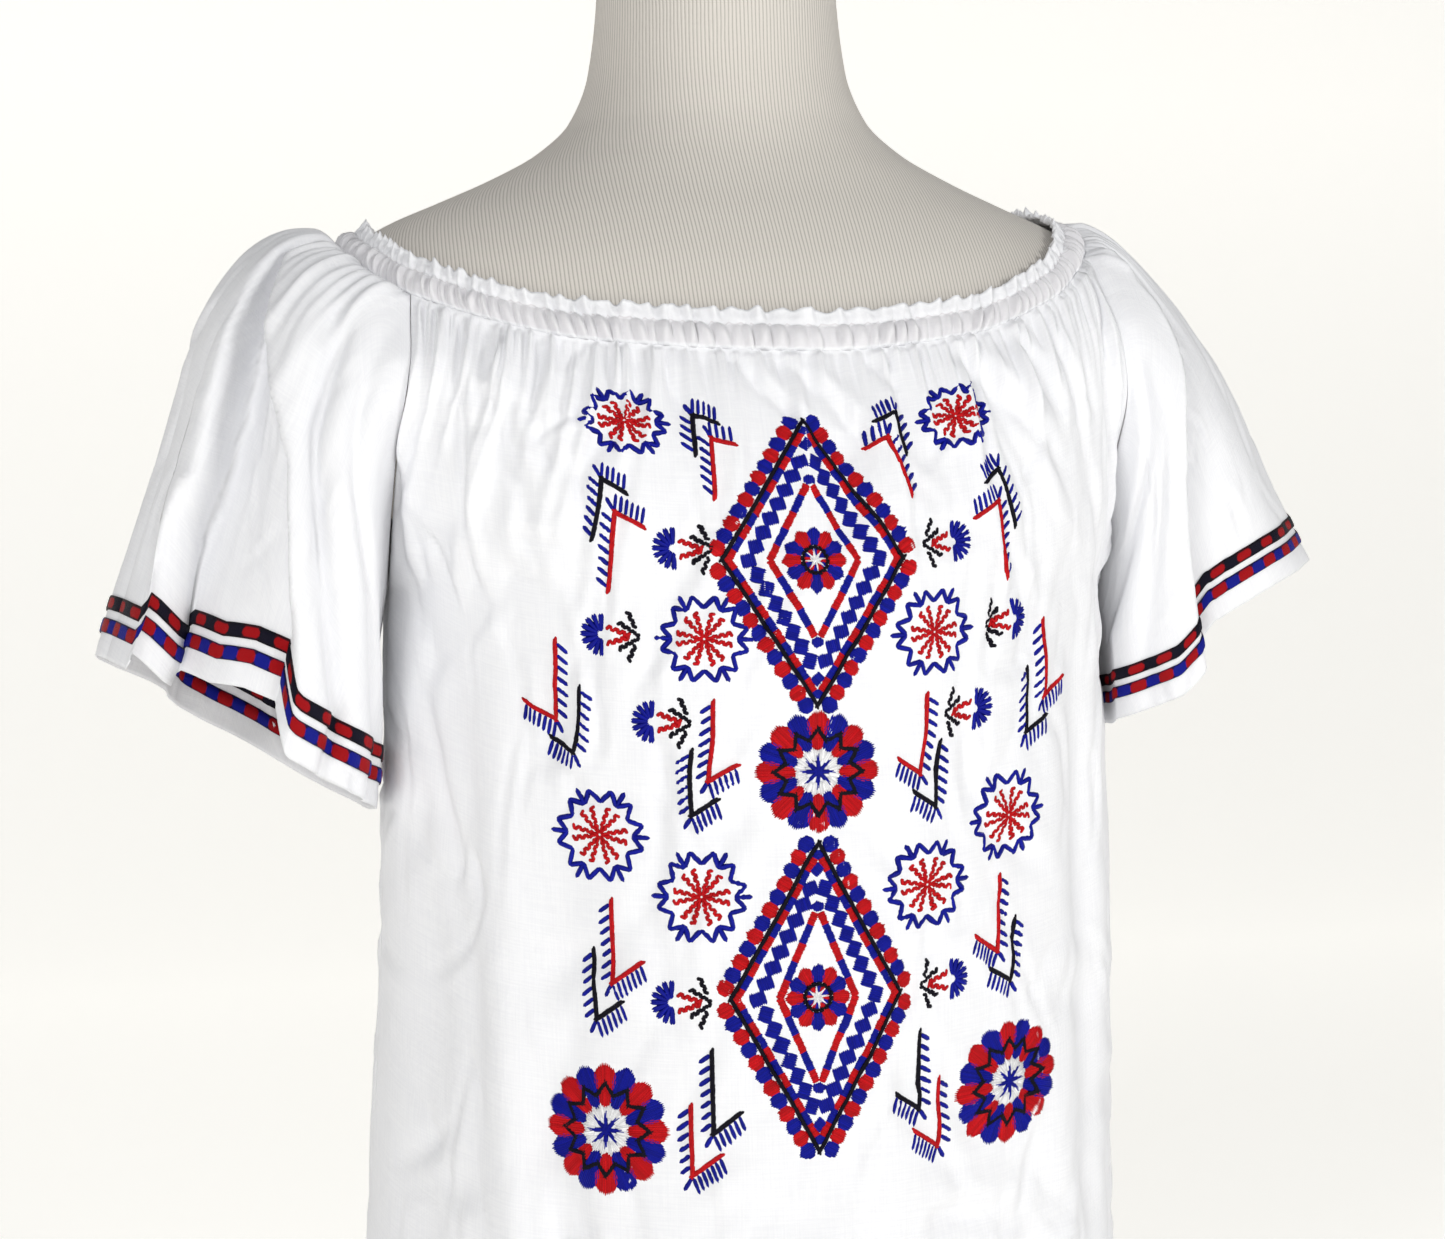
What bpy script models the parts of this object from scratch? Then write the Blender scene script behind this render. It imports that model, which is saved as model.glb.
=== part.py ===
# Off-shoulder blouse on a limbless dress form.
# Metres, +Z up. The front faces -Y and +X is on the viewer's right.
# Left and right are the viewer's, so the left sleeve is the one at -X.
# The origin lies under the middle of the form, on the surface that it stands on.
# A turn is an angle round the body: 0 at the centre front, 90 degrees at +X, 180 at the centre back.
import bisect
import math
from collections import namedtuple

import bmesh
import bpy
import numpy as np

# Cloth and seams
CLOTH = 0.0012
SEAM_GAP = 0.0003
REST_GAP = 0.0012
SLEEVE_AIR = 0.0025

# Neck casing: a stitched channel with a frilled header above it
CASING_WIDTH = 0.0105
HEADER_WIDTH = 0.0065
CASING_PUFF = 0.0012
CASING_GATHERS = 126
CASING_GATHER_DEPTH = 0.0011
HEADER_WAVE = 0.0011
HEADER_STAND_OFF = 0.0010

# Panels: each gather takes two columns of points, one on its crest and one in its dip
PANEL_GATHERS = 24
SLEEVE_GATHERS = 9
GATHER_DEPTH = 0.0022
GATHER_FADE = 0.55
SEAM_TURN = math.radians(54)
ARMHOLE_ROWS = 8
SKIRT_ROWS = 7
HALVED_FROM = 0.6

# Sleeve hem: a white edge, a lower band, a white gap and an upper band, measured up from the hem
LOWER_BAND = (0.0100, 0.0160)
UPPER_BAND = (0.0195, 0.0255)
SLEEVE_ROWS = 7
BAND_THICKNESS = 0.0010
BAND_GAP = 0.0003

# Dress form
FORM_COLUMNS = 40
FORM_STEP = 0.040
NECK_CAP_ROUND = 0.004

Section = namedtuple("Section", "z half_width front back square")
FORM = [
    Section(z=0.000, half_width=0.140, front=-0.100, back=0.098, square=2.2),
    Section(z=0.080, half_width=0.138, front=-0.102, back=0.100, square=2.2),
    Section(z=0.160, half_width=0.124, front=-0.098, back=0.088, square=2.2),
    Section(z=0.240, half_width=0.112, front=-0.092, back=0.076, square=2.2),
    Section(z=0.310, half_width=0.122, front=-0.100, back=0.080, square=2.2),
    Section(z=0.380, half_width=0.142, front=-0.114, back=0.090, square=2.2),
    Section(z=0.415, half_width=0.147, front=-0.117, back=0.096, square=2.2),
    Section(z=0.450, half_width=0.151, front=-0.112, back=0.102, square=2.25),
    Section(z=0.490, half_width=0.164, front=-0.101, back=0.107, square=2.25),
    Section(z=0.530, half_width=0.180, front=-0.088, back=0.110, square=2.25),
    Section(z=0.550, half_width=0.184, front=-0.079, back=0.110, square=2.25),
    Section(z=0.565, half_width=0.180, front=-0.071, back=0.110, square=2.2),
    Section(z=0.577, half_width=0.169, front=-0.063, back=0.109, square=2.15),
    Section(z=0.588, half_width=0.152, front=-0.055, back=0.107, square=2.1),
    Section(z=0.598, half_width=0.130, front=-0.047, back=0.105, square=2.1),
    Section(z=0.609, half_width=0.106, front=-0.039, back=0.102, square=2.1),
    Section(z=0.622, half_width=0.083, front=-0.031, back=0.098, square=2.05),
    Section(z=0.637, half_width=0.067, front=-0.025, back=0.094, square=2.0),
    Section(z=0.660, half_width=0.0575, front=-0.021, back=0.090, square=2.0),
    Section(z=0.700, half_width=0.053, front=-0.020, back=0.086, square=2.0),
    Section(z=0.740, half_width=0.052, front=-0.019, back=0.084, square=2.0),
]

# Height of the casing's lower edge all round the neckline
NeckPoint = namedtuple("NeckPoint", "turn z")
NECKLINE = [
    NeckPoint(turn=-126, z=0.571),
    NeckPoint(turn=-90, z=0.575),
    NeckPoint(turn=-69, z=0.565),
    NeckPoint(turn=-54, z=0.551),
    NeckPoint(turn=-24, z=0.529),
    NeckPoint(turn=0, z=0.525),
    NeckPoint(turn=21, z=0.533),
    NeckPoint(turn=37, z=0.550),
    NeckPoint(turn=54, z=0.571),
    NeckPoint(turn=90, z=0.589),
    NeckPoint(turn=126, z=0.582),
    NeckPoint(turn=180, z=0.570),
]

# Lines down the garment: 0 is the neckline, 1 the underarm and 2 the hem
CentrePoint = namedtuple("CentrePoint", "down z y")
FRONT_CENTRE = [
    CentrePoint(down=0.00, z=0.525, y=-0.093),
    CentrePoint(down=0.25, z=0.502, y=-0.104),
    CentrePoint(down=0.50, z=0.478, y=-0.113),
    CentrePoint(down=0.75, z=0.452, y=-0.1195),
    CentrePoint(down=1.00, z=0.425, y=-0.1235),
    CentrePoint(down=1.30, z=0.330, y=-0.126),
    CentrePoint(down=1.60, z=0.205, y=-0.128),
    CentrePoint(down=2.00, z=0.045, y=-0.131),
]
BACK_CENTRE = [
    CentrePoint(down=0.00, z=0.570, y=0.112),
    CentrePoint(down=0.25, z=0.540, y=0.117),
    CentrePoint(down=0.50, z=0.505, y=0.119),
    CentrePoint(down=0.75, z=0.470, y=0.118),
    CentrePoint(down=1.00, z=0.432, y=0.116),
    CentrePoint(down=1.30, z=0.335, y=0.114),
    CentrePoint(down=1.60, z=0.205, y=0.116),
    CentrePoint(down=2.00, z=0.045, y=0.120),
]
SeamPoint = namedtuple("SeamPoint", "down left right y z")
FRONT_SEAM = [
    SeamPoint(down=0.00, left=0.152, right=0.140, y=-0.040, z=0.556),
    SeamPoint(down=0.30, left=0.158, right=0.147, y=-0.050, z=0.528),
    SeamPoint(down=0.60, left=0.161, right=0.151, y=-0.045, z=0.492),
    SeamPoint(down=0.82, left=0.160, right=0.155, y=-0.025, z=0.457),
    SeamPoint(down=1.00, left=0.157, right=0.158, y=0.004, z=0.432),
]
BACK_SEAM = [
    SeamPoint(down=0.00, left=0.148, right=0.140, y=0.075, z=0.572),
    SeamPoint(down=0.30, left=0.156, right=0.149, y=0.072, z=0.538),
    SeamPoint(down=0.60, left=0.160, right=0.152, y=0.056, z=0.496),
    SeamPoint(down=0.82, left=0.159, right=0.155, y=0.032, z=0.457),
    SeamPoint(down=1.00, left=0.157, right=0.158, y=0.004, z=0.432),
]
SIDE_SEAM = [
    SeamPoint(down=1.00, left=0.157, right=0.158, y=0.004, z=0.432),
    SeamPoint(down=1.25, left=0.160, right=0.161, y=0.002, z=0.360),
    SeamPoint(down=1.50, left=0.164, right=0.161, y=0.000, z=0.270),
    SeamPoint(down=1.75, left=0.172, right=0.159, y=-0.002, z=0.150),
    SeamPoint(down=2.00, left=0.180, right=0.157, y=-0.004, z=0.045),
]

# Soft folds of the body: place across (-1 left seam, 1 right seam) at the top and at the hem
BodyFold = namedtuple("BodyFold", "top hem width depth start full")
FRONT_FOLDS = [
    BodyFold(top=-0.86, hem=-0.72, width=0.09, depth=-0.0055, start=0.35, full=1.3),
    BodyFold(top=-0.62, hem=-0.38, width=0.08, depth=-0.0055, start=0.55, full=1.9),
    BodyFold(top=-0.30, hem=-0.12, width=0.10, depth=0.0050, start=1.10, full=2.0),
    BodyFold(top=0.16, hem=0.20, width=0.11, depth=-0.0060, start=1.35, full=2.0),
    BodyFold(top=0.45, hem=0.50, width=0.10, depth=0.0055, start=1.20, full=2.0),
    BodyFold(top=0.78, hem=0.80, width=0.09, depth=-0.0065, start=0.50, full=1.9),
]
BACK_FOLDS = [
    BodyFold(top=-0.80, hem=-0.74, width=0.10, depth=-0.0080, start=0.50, full=1.8),
    BodyFold(top=-0.45, hem=-0.42, width=0.11, depth=0.0085, start=0.70, full=2.0),
    BodyFold(top=-0.12, hem=-0.10, width=0.10, depth=-0.0095, start=0.80, full=2.0),
    BodyFold(top=0.20, hem=0.24, width=0.10, depth=0.0085, start=0.75, full=2.0),
    BodyFold(top=0.50, hem=0.55, width=0.10, depth=-0.0090, start=0.60, full=2.0),
    BodyFold(top=0.82, hem=0.86, width=0.08, depth=0.0060, start=0.60, full=1.8),
]

# Sleeves. Round a sleeve, 0 degrees is the underarm, 90 the front, 180 the outer side and 270 the back.
Cuff = namedtuple("Cuff", "centre outward depth")
CUFFS = {
    "left": Cuff(centre=(-0.2170, 0.004, 0.3700), outward=(-0.0500, 0.0, 0.0300), depth=0.059),
    "right": Cuff(centre=(0.2110, 0.010, 0.4050), outward=(0.0510, 0.0, 0.0390), depth=0.062),
}
# How the cloth leaves the seam and arrives at the hem: offsets of a Bezier curve's inner points.
# x counts outwards from the body on both sides.
Flow = namedtuple("Flow", "round leave arrive")
FLOWS = {
    "left": [
        Flow(round=0, leave=(0.006, 0.000, -0.030), arrive=(-0.004, 0.000, 0.035)),
        Flow(round=60, leave=(0.022, -0.014, -0.030), arrive=(-0.014, -0.004, 0.055)),
        Flow(round=110, leave=(0.040, -0.018, -0.006), arrive=(-0.024, -0.004, 0.085)),
        Flow(round=180, leave=(0.046, 0.000, 0.018), arrive=(-0.034, 0.000, 0.100)),
        Flow(round=250, leave=(0.044, 0.016, -0.010), arrive=(-0.030, 0.006, 0.100)),
        Flow(round=300, leave=(0.022, 0.014, -0.030), arrive=(-0.014, 0.004, 0.055)),
    ],
    "right": [
        Flow(round=0, leave=(0.006, 0.000, -0.022), arrive=(-0.004, 0.000, 0.025)),
        Flow(round=60, leave=(0.018, -0.014, -0.028), arrive=(-0.010, -0.004, 0.045)),
        Flow(round=110, leave=(0.034, -0.016, -0.012), arrive=(-0.026, -0.006, 0.075)),
        Flow(round=180, leave=(0.048, 0.000, -0.002), arrive=(-0.045, 0.000, 0.085)),
        Flow(round=250, leave=(0.034, 0.016, -0.012), arrive=(-0.026, 0.006, 0.075)),
        Flow(round=300, leave=(0.018, 0.014, -0.028), arrive=(-0.010, 0.004, 0.045)),
    ],
}
SleeveFold = namedtuple("SleeveFold", "top hem width depth lift start")
SLEEVE_FOLDS = {
    "left": [
        SleeveFold(top=196, hem=168, width=27, depth=0.007, lift=0.001, start=0.10),
        SleeveFold(top=172, hem=117, width=22, depth=-0.013, lift=0.010, start=0.05),
        SleeveFold(top=140, hem=64, width=27, depth=0.010, lift=-0.006, start=0.08),
        SleeveFold(top=110, hem=18, width=14, depth=-0.005, lift=0.000, start=0.30),
        SleeveFold(top=214, hem=216, width=20, depth=-0.010, lift=0.003, start=0.15),
        SleeveFold(top=244, hem=252, width=18, depth=0.007, lift=-0.003, start=0.20),
        SleeveFold(top=272, hem=292, width=20, depth=-0.010, lift=0.004, start=0.20),
    ],
    "right": [
        SleeveFold(top=184, hem=172, width=24, depth=0.006, lift=0.002, start=0.10),
        SleeveFold(top=156, hem=110, width=32, depth=-0.021, lift=0.010, start=0.05),
        SleeveFold(top=118, hem=50, width=23, depth=0.010, lift=0.002, start=0.08),
        SleeveFold(top=90, hem=12, width=14, depth=-0.005, lift=0.000, start=0.30),
        SleeveFold(top=212, hem=222, width=20, depth=-0.011, lift=0.003, start=0.15),
        SleeveFold(top=242, hem=256, width=18, depth=0.008, lift=-0.003, start=0.20),
        SleeveFold(top=270, hem=294, width=20, depth=-0.010, lift=0.004, start=0.20),
    ],
}
# Share of the way round the cuff that the front seam, the neck edge and the back seam feed
NECK_FEED = (0.29, 0.71)

Finish = namedtuple("Finish", "colour roughness")
FINISHES = {
    "white_cotton": Finish(colour=(0.90, 0.91, 0.93), roughness=0.85),
    "gathered_cotton": Finish(colour=(0.88, 0.88, 0.90), roughness=0.85),
    "black_red_thread": Finish(colour=(0.12, 0.03, 0.06), roughness=0.5),
    "blue_red_thread": Finish(colour=(0.20, 0.03, 0.25), roughness=0.5),
    "grey_jersey": Finish(colour=(0.52, 0.49, 0.46), roughness=0.9),
}


def curve_through(keys, values):
    """A smooth curve through a table's column that never overshoots it."""
    steps = [b - a for a, b in zip(keys, keys[1:])]
    slopes = [(b - a) / step for a, b, step in zip(values, values[1:], steps)]
    tangents = [slopes[0]]
    for i in range(1, len(keys) - 1):
        before, after = slopes[i - 1], slopes[i]
        near, far = 2 * steps[i] + steps[i - 1], steps[i] + 2 * steps[i - 1]
        tangents.append((near + far) / (near / before + far / after) if before * after > 0 else 0.0)
    tangents.append(slopes[-1])

    def value(key):
        i = min(max(bisect.bisect_right(keys, key) - 1, 0), len(steps) - 1)
        s = min(max((key - keys[i]) / steps[i], 0.0), 1.0)
        ease = s * s * (3 - 2 * s)
        return (
            values[i] * (1 - ease)
            + values[i + 1] * ease
            + steps[i] * s * (1 - s) * (tangents[i] * (1 - s) - tangents[i + 1] * s)
        )

    return value


def column(table, key, name):
    return curve_through([getattr(row, key) for row in table], [getattr(row, name) for row in table])


def ring_curve(keys, values, whole):
    """The same for a column that closes on itself after a whole turn."""
    keys, values = list(keys), list(values)
    around = curve_through(
        [keys[-2] - whole, keys[-1] - whole] + keys + [keys[0] + whole, keys[1] + whole],
        values[-2:] + values + values[:2],
    )
    return lambda key: around(keys[0] + (key - keys[0]) % whole)


def unit(vector):
    return vector / np.linalg.norm(vector)


def bump(distance, width):
    """A rounded fold, 1 at its crest and gone about two widths away."""
    return math.exp(-((distance / width) ** 2))


def flat_bump(distance, width):
    """A fold with a broad crest and steep sides."""
    return math.exp(-((distance / width) ** 4))


def ramp(value, start, end):
    s = min(max((value - start) / (end - start), 0.0), 1.0)
    return s * s * (3 - 2 * s)


FORM_WIDTH = column(FORM, "z", "half_width")
FORM_FRONT = column(FORM, "z", "front")
FORM_BACK = column(FORM, "z", "back")
FORM_SQUARE = column(FORM, "z", "square")
NECK_EDGE = ring_curve([p.turn for p in NECKLINE], [p.z for p in NECKLINE], 360)


def form_point(turn, z):
    """A point on the form's skin."""
    front, back = FORM_FRONT(z), FORM_BACK(z)
    power = 2 / FORM_SQUARE(z)
    s, c = math.sin(turn), math.cos(turn)
    x = FORM_WIDTH(z) * math.copysign(abs(s) ** power, s)
    y = (front + back) / 2 - (back - front) / 2 * math.copysign(abs(c) ** power, c)
    return np.array((x, y, z))


def form_level(point):
    """1 on the form's skin, less inside it and more outside."""
    x, y, z = point
    front, back = FORM_FRONT(z), FORM_BACK(z)
    square = FORM_SQUARE(z)
    across = abs(x) / FORM_WIDTH(z)
    along = abs(y - (front + back) / 2) / ((back - front) / 2)
    return (across**square + along**square) ** (1 / square)


def form_slope(point):
    step = 0.0005
    shifts = np.eye(3) * step
    return np.array([form_level(point + s) - form_level(point - s) for s in shifts]) / (2 * step)


def form_normal(point):
    return unit(form_slope(point))


def clear_of_form(point, gap):
    """The point, moved straight out until it is at least a gap off the form."""
    for _ in range(4):
        slope = form_slope(point)
        size = np.linalg.norm(slope)
        distance = (form_level(point) - 1) / size
        if distance < gap:
            point = point + slope / size * (gap - distance)
    return point


def neckline_point(turn, up):
    """A point on the form's skin, this far up from the casing's lower edge, and how it rises there."""
    z = NECK_EDGE(math.degrees(turn))
    step = 0.0002
    point = form_point(turn, z)
    rising = form_point(turn, z + step)
    while up > 0:
        length = np.linalg.norm(rising - point)
        if length > up:
            return point + (rising - point) * up / length
        up -= length
        z += step
        point, rising = rising, form_point(turn, z + step)
    return point


def neck_edge_outer(turn):
    """Where the outer face of the cloth meets the casing."""
    point = neckline_point(turn, 0)
    return point + form_normal(point) * (REST_GAP + CLOTH)


def panel_lines(side):
    """The centre line, the armhole seam and the depth sign of the front or the back."""
    if side == "front":
        return FRONT_CENTRE, FRONT_SEAM
    return BACK_CENTRE, BACK_SEAM


PANEL_CURVES = {
    side: {
        "centre_z": column(panel_lines(side)[0], "down", "z"),
        "centre_y": column(panel_lines(side)[0], "down", "y"),
        "seam": {name: column(panel_lines(side)[1], "down", name) for name in ("left", "right", "y", "z")},
    }
    for side in ("front", "back")
}
SIDE_CURVES = {name: column(SIDE_SEAM, "down", name) for name in ("left", "right", "y", "z")}


def seam_numbers(side, down):
    curves = PANEL_CURVES[side]["seam"] if down < 1 else SIDE_CURVES
    return {name: curve(down) for name, curve in curves.items()}


def raw_panel_point(side, across, down):
    """The panel's form before the neckline, folds and gathers are worked in."""
    seam = seam_numbers(side, down)
    centre_z = PANEL_CURVES[side]["centre_z"](down)
    centre_y = PANEL_CURVES[side]["centre_y"](down)
    sweep = SEAM_TURN + (math.pi / 2 - SEAM_TURN) * ramp(down, 0, 1)
    angle = across * sweep
    half = seam["left"] if across < 0 else seam["right"]
    rise = (1 - math.cos(angle)) / (1 - math.cos(sweep))
    x = half * math.sin(angle) / math.sin(sweep)
    return np.array((x, centre_y + (seam["y"] - centre_y) * rise, centre_z + (seam["z"] - centre_z) * rise))


def panel_turn(side, across):
    return across * SEAM_TURN if side == "front" else math.pi - across * SEAM_TURN


def smooth_panel_point(side, across, down):
    """The outer face of a panel without its folds."""
    point = raw_panel_point(side, across, down)
    if down < 1:
        missed = neck_edge_outer(panel_turn(side, across)) - raw_panel_point(side, across, 0)
        point = point + missed * (1 - ramp(down, 0, 1)) ** 1.5
    return clear_of_form(point, REST_GAP + CLOTH)


def panel_normal(side, across, down):
    step = 0.01
    a, b = max(across - step, -1), min(across + step, 1)
    c, d = max(down - step, 0), min(down + step, 2)
    along = smooth_panel_point(side, b, down) - smooth_panel_point(side, a, down)
    below = smooth_panel_point(side, across, d) - smooth_panel_point(side, across, c)
    normal = unit(np.cross(along, below))
    outwards = -1 if side == "front" else 1
    return normal if normal[1] * outwards > 0 or abs(normal[1]) < 0.02 else -normal


def gather_height(index, down):
    """Crest on even columns, dip on odd ones, uneven from one to the next, gone at the fade."""
    sign = 1 if index % 2 == 0 else -1
    uneven = 0.70 + 0.30 * math.sin(index * 1.9) * math.cos(index * 0.83)
    swell = 0.35 + 0.65 * ramp(down, 0, 0.12)
    return sign * uneven * GATHER_DEPTH * swell * (1 - ramp(down, 0.04, GATHER_FADE * (0.7 + 0.3 * math.sin(index * 2.3))))


def body_fold_height(side, across, down):
    folds = FRONT_FOLDS if side == "front" else BACK_FOLDS
    height = 0.0
    for fold in folds:
        place = fold.top + (fold.hem - fold.top) * down / 2
        height += fold.depth * bump(across - place, fold.width) * ramp(down, fold.start, fold.full)
    return height * (1 - abs(across) ** 8)


def underarm_normal(sign):
    return unit(np.array((sign * 0.75, 0.0, -0.65)))


def seam_normal(side, sign, down):
    """One thickness direction for all the pieces that meet on an armhole seam."""
    point = smooth_panel_point(side, sign, down)
    share = ramp(down, 0.35, 1.0)
    return unit(form_normal(point) * (1 - share) + underarm_normal(sign) * share)


def seam_downs():
    return [row / ARMHOLE_ROWS for row in range(ARMHOLE_ROWS + 1)]


def seam_line(side, sign):
    """The outer edge points of an armhole seam from the neckline to the underarm, and their normals."""
    downs = seam_downs()
    points = [smooth_panel_point(side, sign, d) for d in downs]
    normals = [seam_normal(side, sign, d) for d in downs]
    return points, normals


def pulled_in(points, neighbours, distance):
    """Edge points moved towards their neighbours inside the piece."""
    return [p + unit(n - p) * distance for p, n in zip(points, neighbours)]


def panel_rows(side):
    """Rows of outer points and of thickness directions, from the neckline to the hem."""
    downs = seam_downs() + [1 + (row + 1) / SKIRT_ROWS for row in range(SKIRT_ROWS)]
    columns = 2 * PANEL_GATHERS
    points, normals = [], []
    for down in downs:
        row_points, row_normals = [], []
        for i in range(columns + 1):
            across = -1 + 2 * i / columns
            point = smooth_panel_point(side, across, down)
            normal = panel_normal(side, across, down)
            if i in (0, columns):
                sign = -1 if i == 0 else 1
                if down <= 1:
                    normal = seam_normal(side, sign, down)
                else:
                    normal = np.array((float(sign), 0.0, 0.0))
            else:
                height = gather_height(i, down) + body_fold_height(side, across, down)
                point = clear_of_form(point + normal * height, REST_GAP + CLOTH)
            if down == 0:
                skin = neckline_point(panel_turn(side, across), 0)
                normal = form_normal(skin)
            row_points.append(point)
            row_normals.append(normal)
        if down > HALVED_FROM:
            row_points, row_normals = row_points[::2], row_normals[::2]
        points.append(row_points)
        normals.append(row_normals)
    return points, normals


def open_seam_gaps(points, sides=True, top=True):
    """Leaves half a seam gap on each sewn edge of a sheet."""
    half = SEAM_GAP / 2
    if sides:
        left = pulled_in([r[0] for r in points], [r[1] for r in points], half)
        right = pulled_in([r[-1] for r in points], [r[-2] for r in points], half)
        for row, a, b in zip(points, left, right):
            row[0], row[-1] = a, b
    if top:
        points[0] = pulled_in(points[0], points[1], half)


def material(name):
    """A plain finish for a sub-part."""
    finish = FINISHES[name]
    made = bpy.data.materials.get(name) or bpy.data.materials.new(name)
    made.use_nodes = True
    shader = made.node_tree.nodes["Principled BSDF"]
    shader.inputs["Base Color"].default_value = (*finish.colour, 1.0)
    shader.inputs["Roughness"].default_value = finish.roughness
    shader.inputs["Metallic"].default_value = 0.0
    return made


def add_object(name, mesh_builder, finish):
    mesh_builder.normal_update()
    mesh = bpy.data.meshes.new(name)
    mesh_builder.to_mesh(mesh)
    mesh_builder.free()
    mesh.materials.append(material(finish))
    obj = bpy.data.objects.new(name, mesh)
    bpy.context.scene.collection.objects.link(obj)
    return obj


def skin_between(builder, first, second, closed):
    """Faces between two rows of vertices. Where one row has twice the columns, they are halved."""
    few, many = (first, second) if len(first) <= len(second) else (second, first)
    count = len(few) if closed else len(few) - 1
    for i in range(count):
        j = (i + 1) % len(few)
        if len(few) == len(many):
            builder.faces.new((few[i], few[j], many[j], many[i]))
            continue
        a, b, c = many[2 * i], many[2 * i + 1], many[(2 * i + 2) % len(many)]
        builder.faces.new((few[i], b, a))
        builder.faces.new((few[i], few[j], b))
        builder.faces.new((few[j], c, b))


def add_wall(name, outer, inner, closed, finish):
    """A closed wall between rows of outer points and rows of inner points."""
    builder = bmesh.new()
    outer_rows = [[builder.verts.new(p) for p in row] for row in outer]
    inner_rows = [[builder.verts.new(p) for p in row] for row in inner]
    loop = outer_rows + inner_rows[::-1]
    for first, second in zip(loop, loop[1:] + loop[:1]):
        skin_between(builder, first, second, closed)
    if not closed:
        for end in (0, -1):
            for first, second in zip(range(len(outer_rows) - 1), range(1, len(outer_rows))):
                builder.faces.new(
                    (outer_rows[first][end], outer_rows[second][end], inner_rows[second][end], inner_rows[first][end])
                )
    bmesh.ops.recalc_face_normals(builder, faces=builder.faces)
    return add_object(name, builder, finish)


def moved_in(points, normals, thickness):
    return [[p - n * thickness for p, n in zip(row, ways)] for row, ways in zip(points, normals)]


def make_panel(side):
    points, normals = panel_rows(side)
    open_seam_gaps(points)
    return add_wall(f"{side}_panel", points, moved_in(points, normals, CLOTH), False, "white_cotton")


def make_neck_casing():
    """The elastic channel, pinched at its two stitch lines, with the frilled header above."""
    columns = 2 * CASING_GATHERS
    outer = [[] for _ in range(4)]
    inner = [[] for _ in range(3)]
    for i in range(columns):
        turn = 2 * math.pi * i / columns
        crest = 1 if i % 2 == 0 else 0
        uneven = 0.75 + 0.25 * math.sin(i * 1.7) * math.cos(i * 0.61)
        wave = (1 if crest else -1) * HEADER_WAVE * uneven
        bottom = neckline_point(turn, SEAM_GAP / 2)
        middle = neckline_point(turn, CASING_WIDTH / 2)
        stitched = neckline_point(turn, CASING_WIDTH)
        top = neckline_point(turn, CASING_WIDTH + HEADER_WIDTH * (0.85 + 0.15 * uneven))
        ways = [form_normal(p) for p in (bottom, middle, stitched, top)]
        puff = CLOTH + CASING_PUFF + CASING_GATHER_DEPTH * crest * uneven
        outer[0].append(bottom + ways[0] * (REST_GAP + CLOTH))
        outer[1].append(middle + ways[1] * (REST_GAP + puff))
        outer[2].append(stitched + ways[2] * (REST_GAP + CLOTH + 0.0003 * crest))
        outer[3].append(top + ways[3] * (REST_GAP + CLOTH + HEADER_STAND_OFF + wave))
        inner[0].append(bottom + ways[0] * REST_GAP)
        inner[1].append(stitched + ways[2] * REST_GAP)
        inner[2].append(top + ways[3] * (REST_GAP + HEADER_STAND_OFF + min(wave, 0.0) * 0.9))
    return add_wall("neck_casing", outer, inner, True, "gathered_cotton")


def sleeve_start(name):
    """The sewn edge of a sleeve as a closed line: underarm, up the front seam, along the neck, down the back seam.
    Each entry is a point, its thickness direction and how far round the cuff it feeds, from 0 to 1."""
    sign = -1 if name == "left" else 1
    line = []
    for side in ("front", "back"):
        points, normals = seam_line(side, sign)
        if side == "front":
            points, normals = points[::-1], normals[::-1]
        halved = []
        for i in range(len(points) - 1):
            halved.append((points[i], normals[i]))
            halved.append(((points[i] + points[i + 1]) / 2, unit(normals[i] + normals[i + 1])))
        if side == "back":
            halved.append((points[-1], normals[-1]))
            # the underarm point closes the line, so it is kept only once
            halved = halved[:-1]
        count = len(halved)
        low, high = (0.0, NECK_FEED[0]) if side == "front" else (NECK_FEED[1], 1.0)
        part = [(p, n, low + (high - low) * i / count) for i, (p, n) in enumerate(halved)]
        if side == "front":
            line += part
            columns = 2 * SLEEVE_GATHERS
            for i in range(columns):
                turn = sign * (SEAM_TURN + (math.pi - 2 * SEAM_TURN) * i / columns)
                share = NECK_FEED[0] + (NECK_FEED[1] - NECK_FEED[0]) * i / columns
                line.append((neck_edge_outer(turn), form_normal(neckline_point(turn, 0)), share))
        else:
            line += part
    return line


def flow_curves(name):
    flows = FLOWS[name]
    turns = [f.round for f in flows]
    return [
        [ring_curve(turns, [getattr(f, part)[axis] for f in flows], 360) for axis in range(3)]
        for part in ("leave", "arrive")
    ]


def fold_height(fold, round_turn, share):
    """How far a sleeve fold stands out of the plain sleeve at this place."""
    place = fold.top + (fold.hem - fold.top) * share
    away = (round_turn - place + 180) % 360 - 180
    width = fold.width * (0.55 + 0.45 * share)
    return fold.depth * flat_bump(away, width) * ramp(share, fold.start, 1.0) ** 0.7


def cuff_point(name, round_turn):
    """A point of the sleeve's hem, its folds' lift included."""
    cuff = CUFFS[name]
    angle = math.radians(round_turn)
    lift = sum(f.lift * flat_bump((round_turn - f.hem + 180) % 360 - 180, f.width) for f in SLEEVE_FOLDS[name])
    point = np.array(cuff.centre) - np.array(cuff.outward) * math.cos(angle)
    return point + np.array((0.0, -cuff.depth * math.sin(angle), lift))


def bezier(points, s):
    a, b, c, d = points
    return a * (1 - s) ** 3 + b * 3 * s * (1 - s) ** 2 + c * 3 * s * s * (1 - s) + d * s**3


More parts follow.
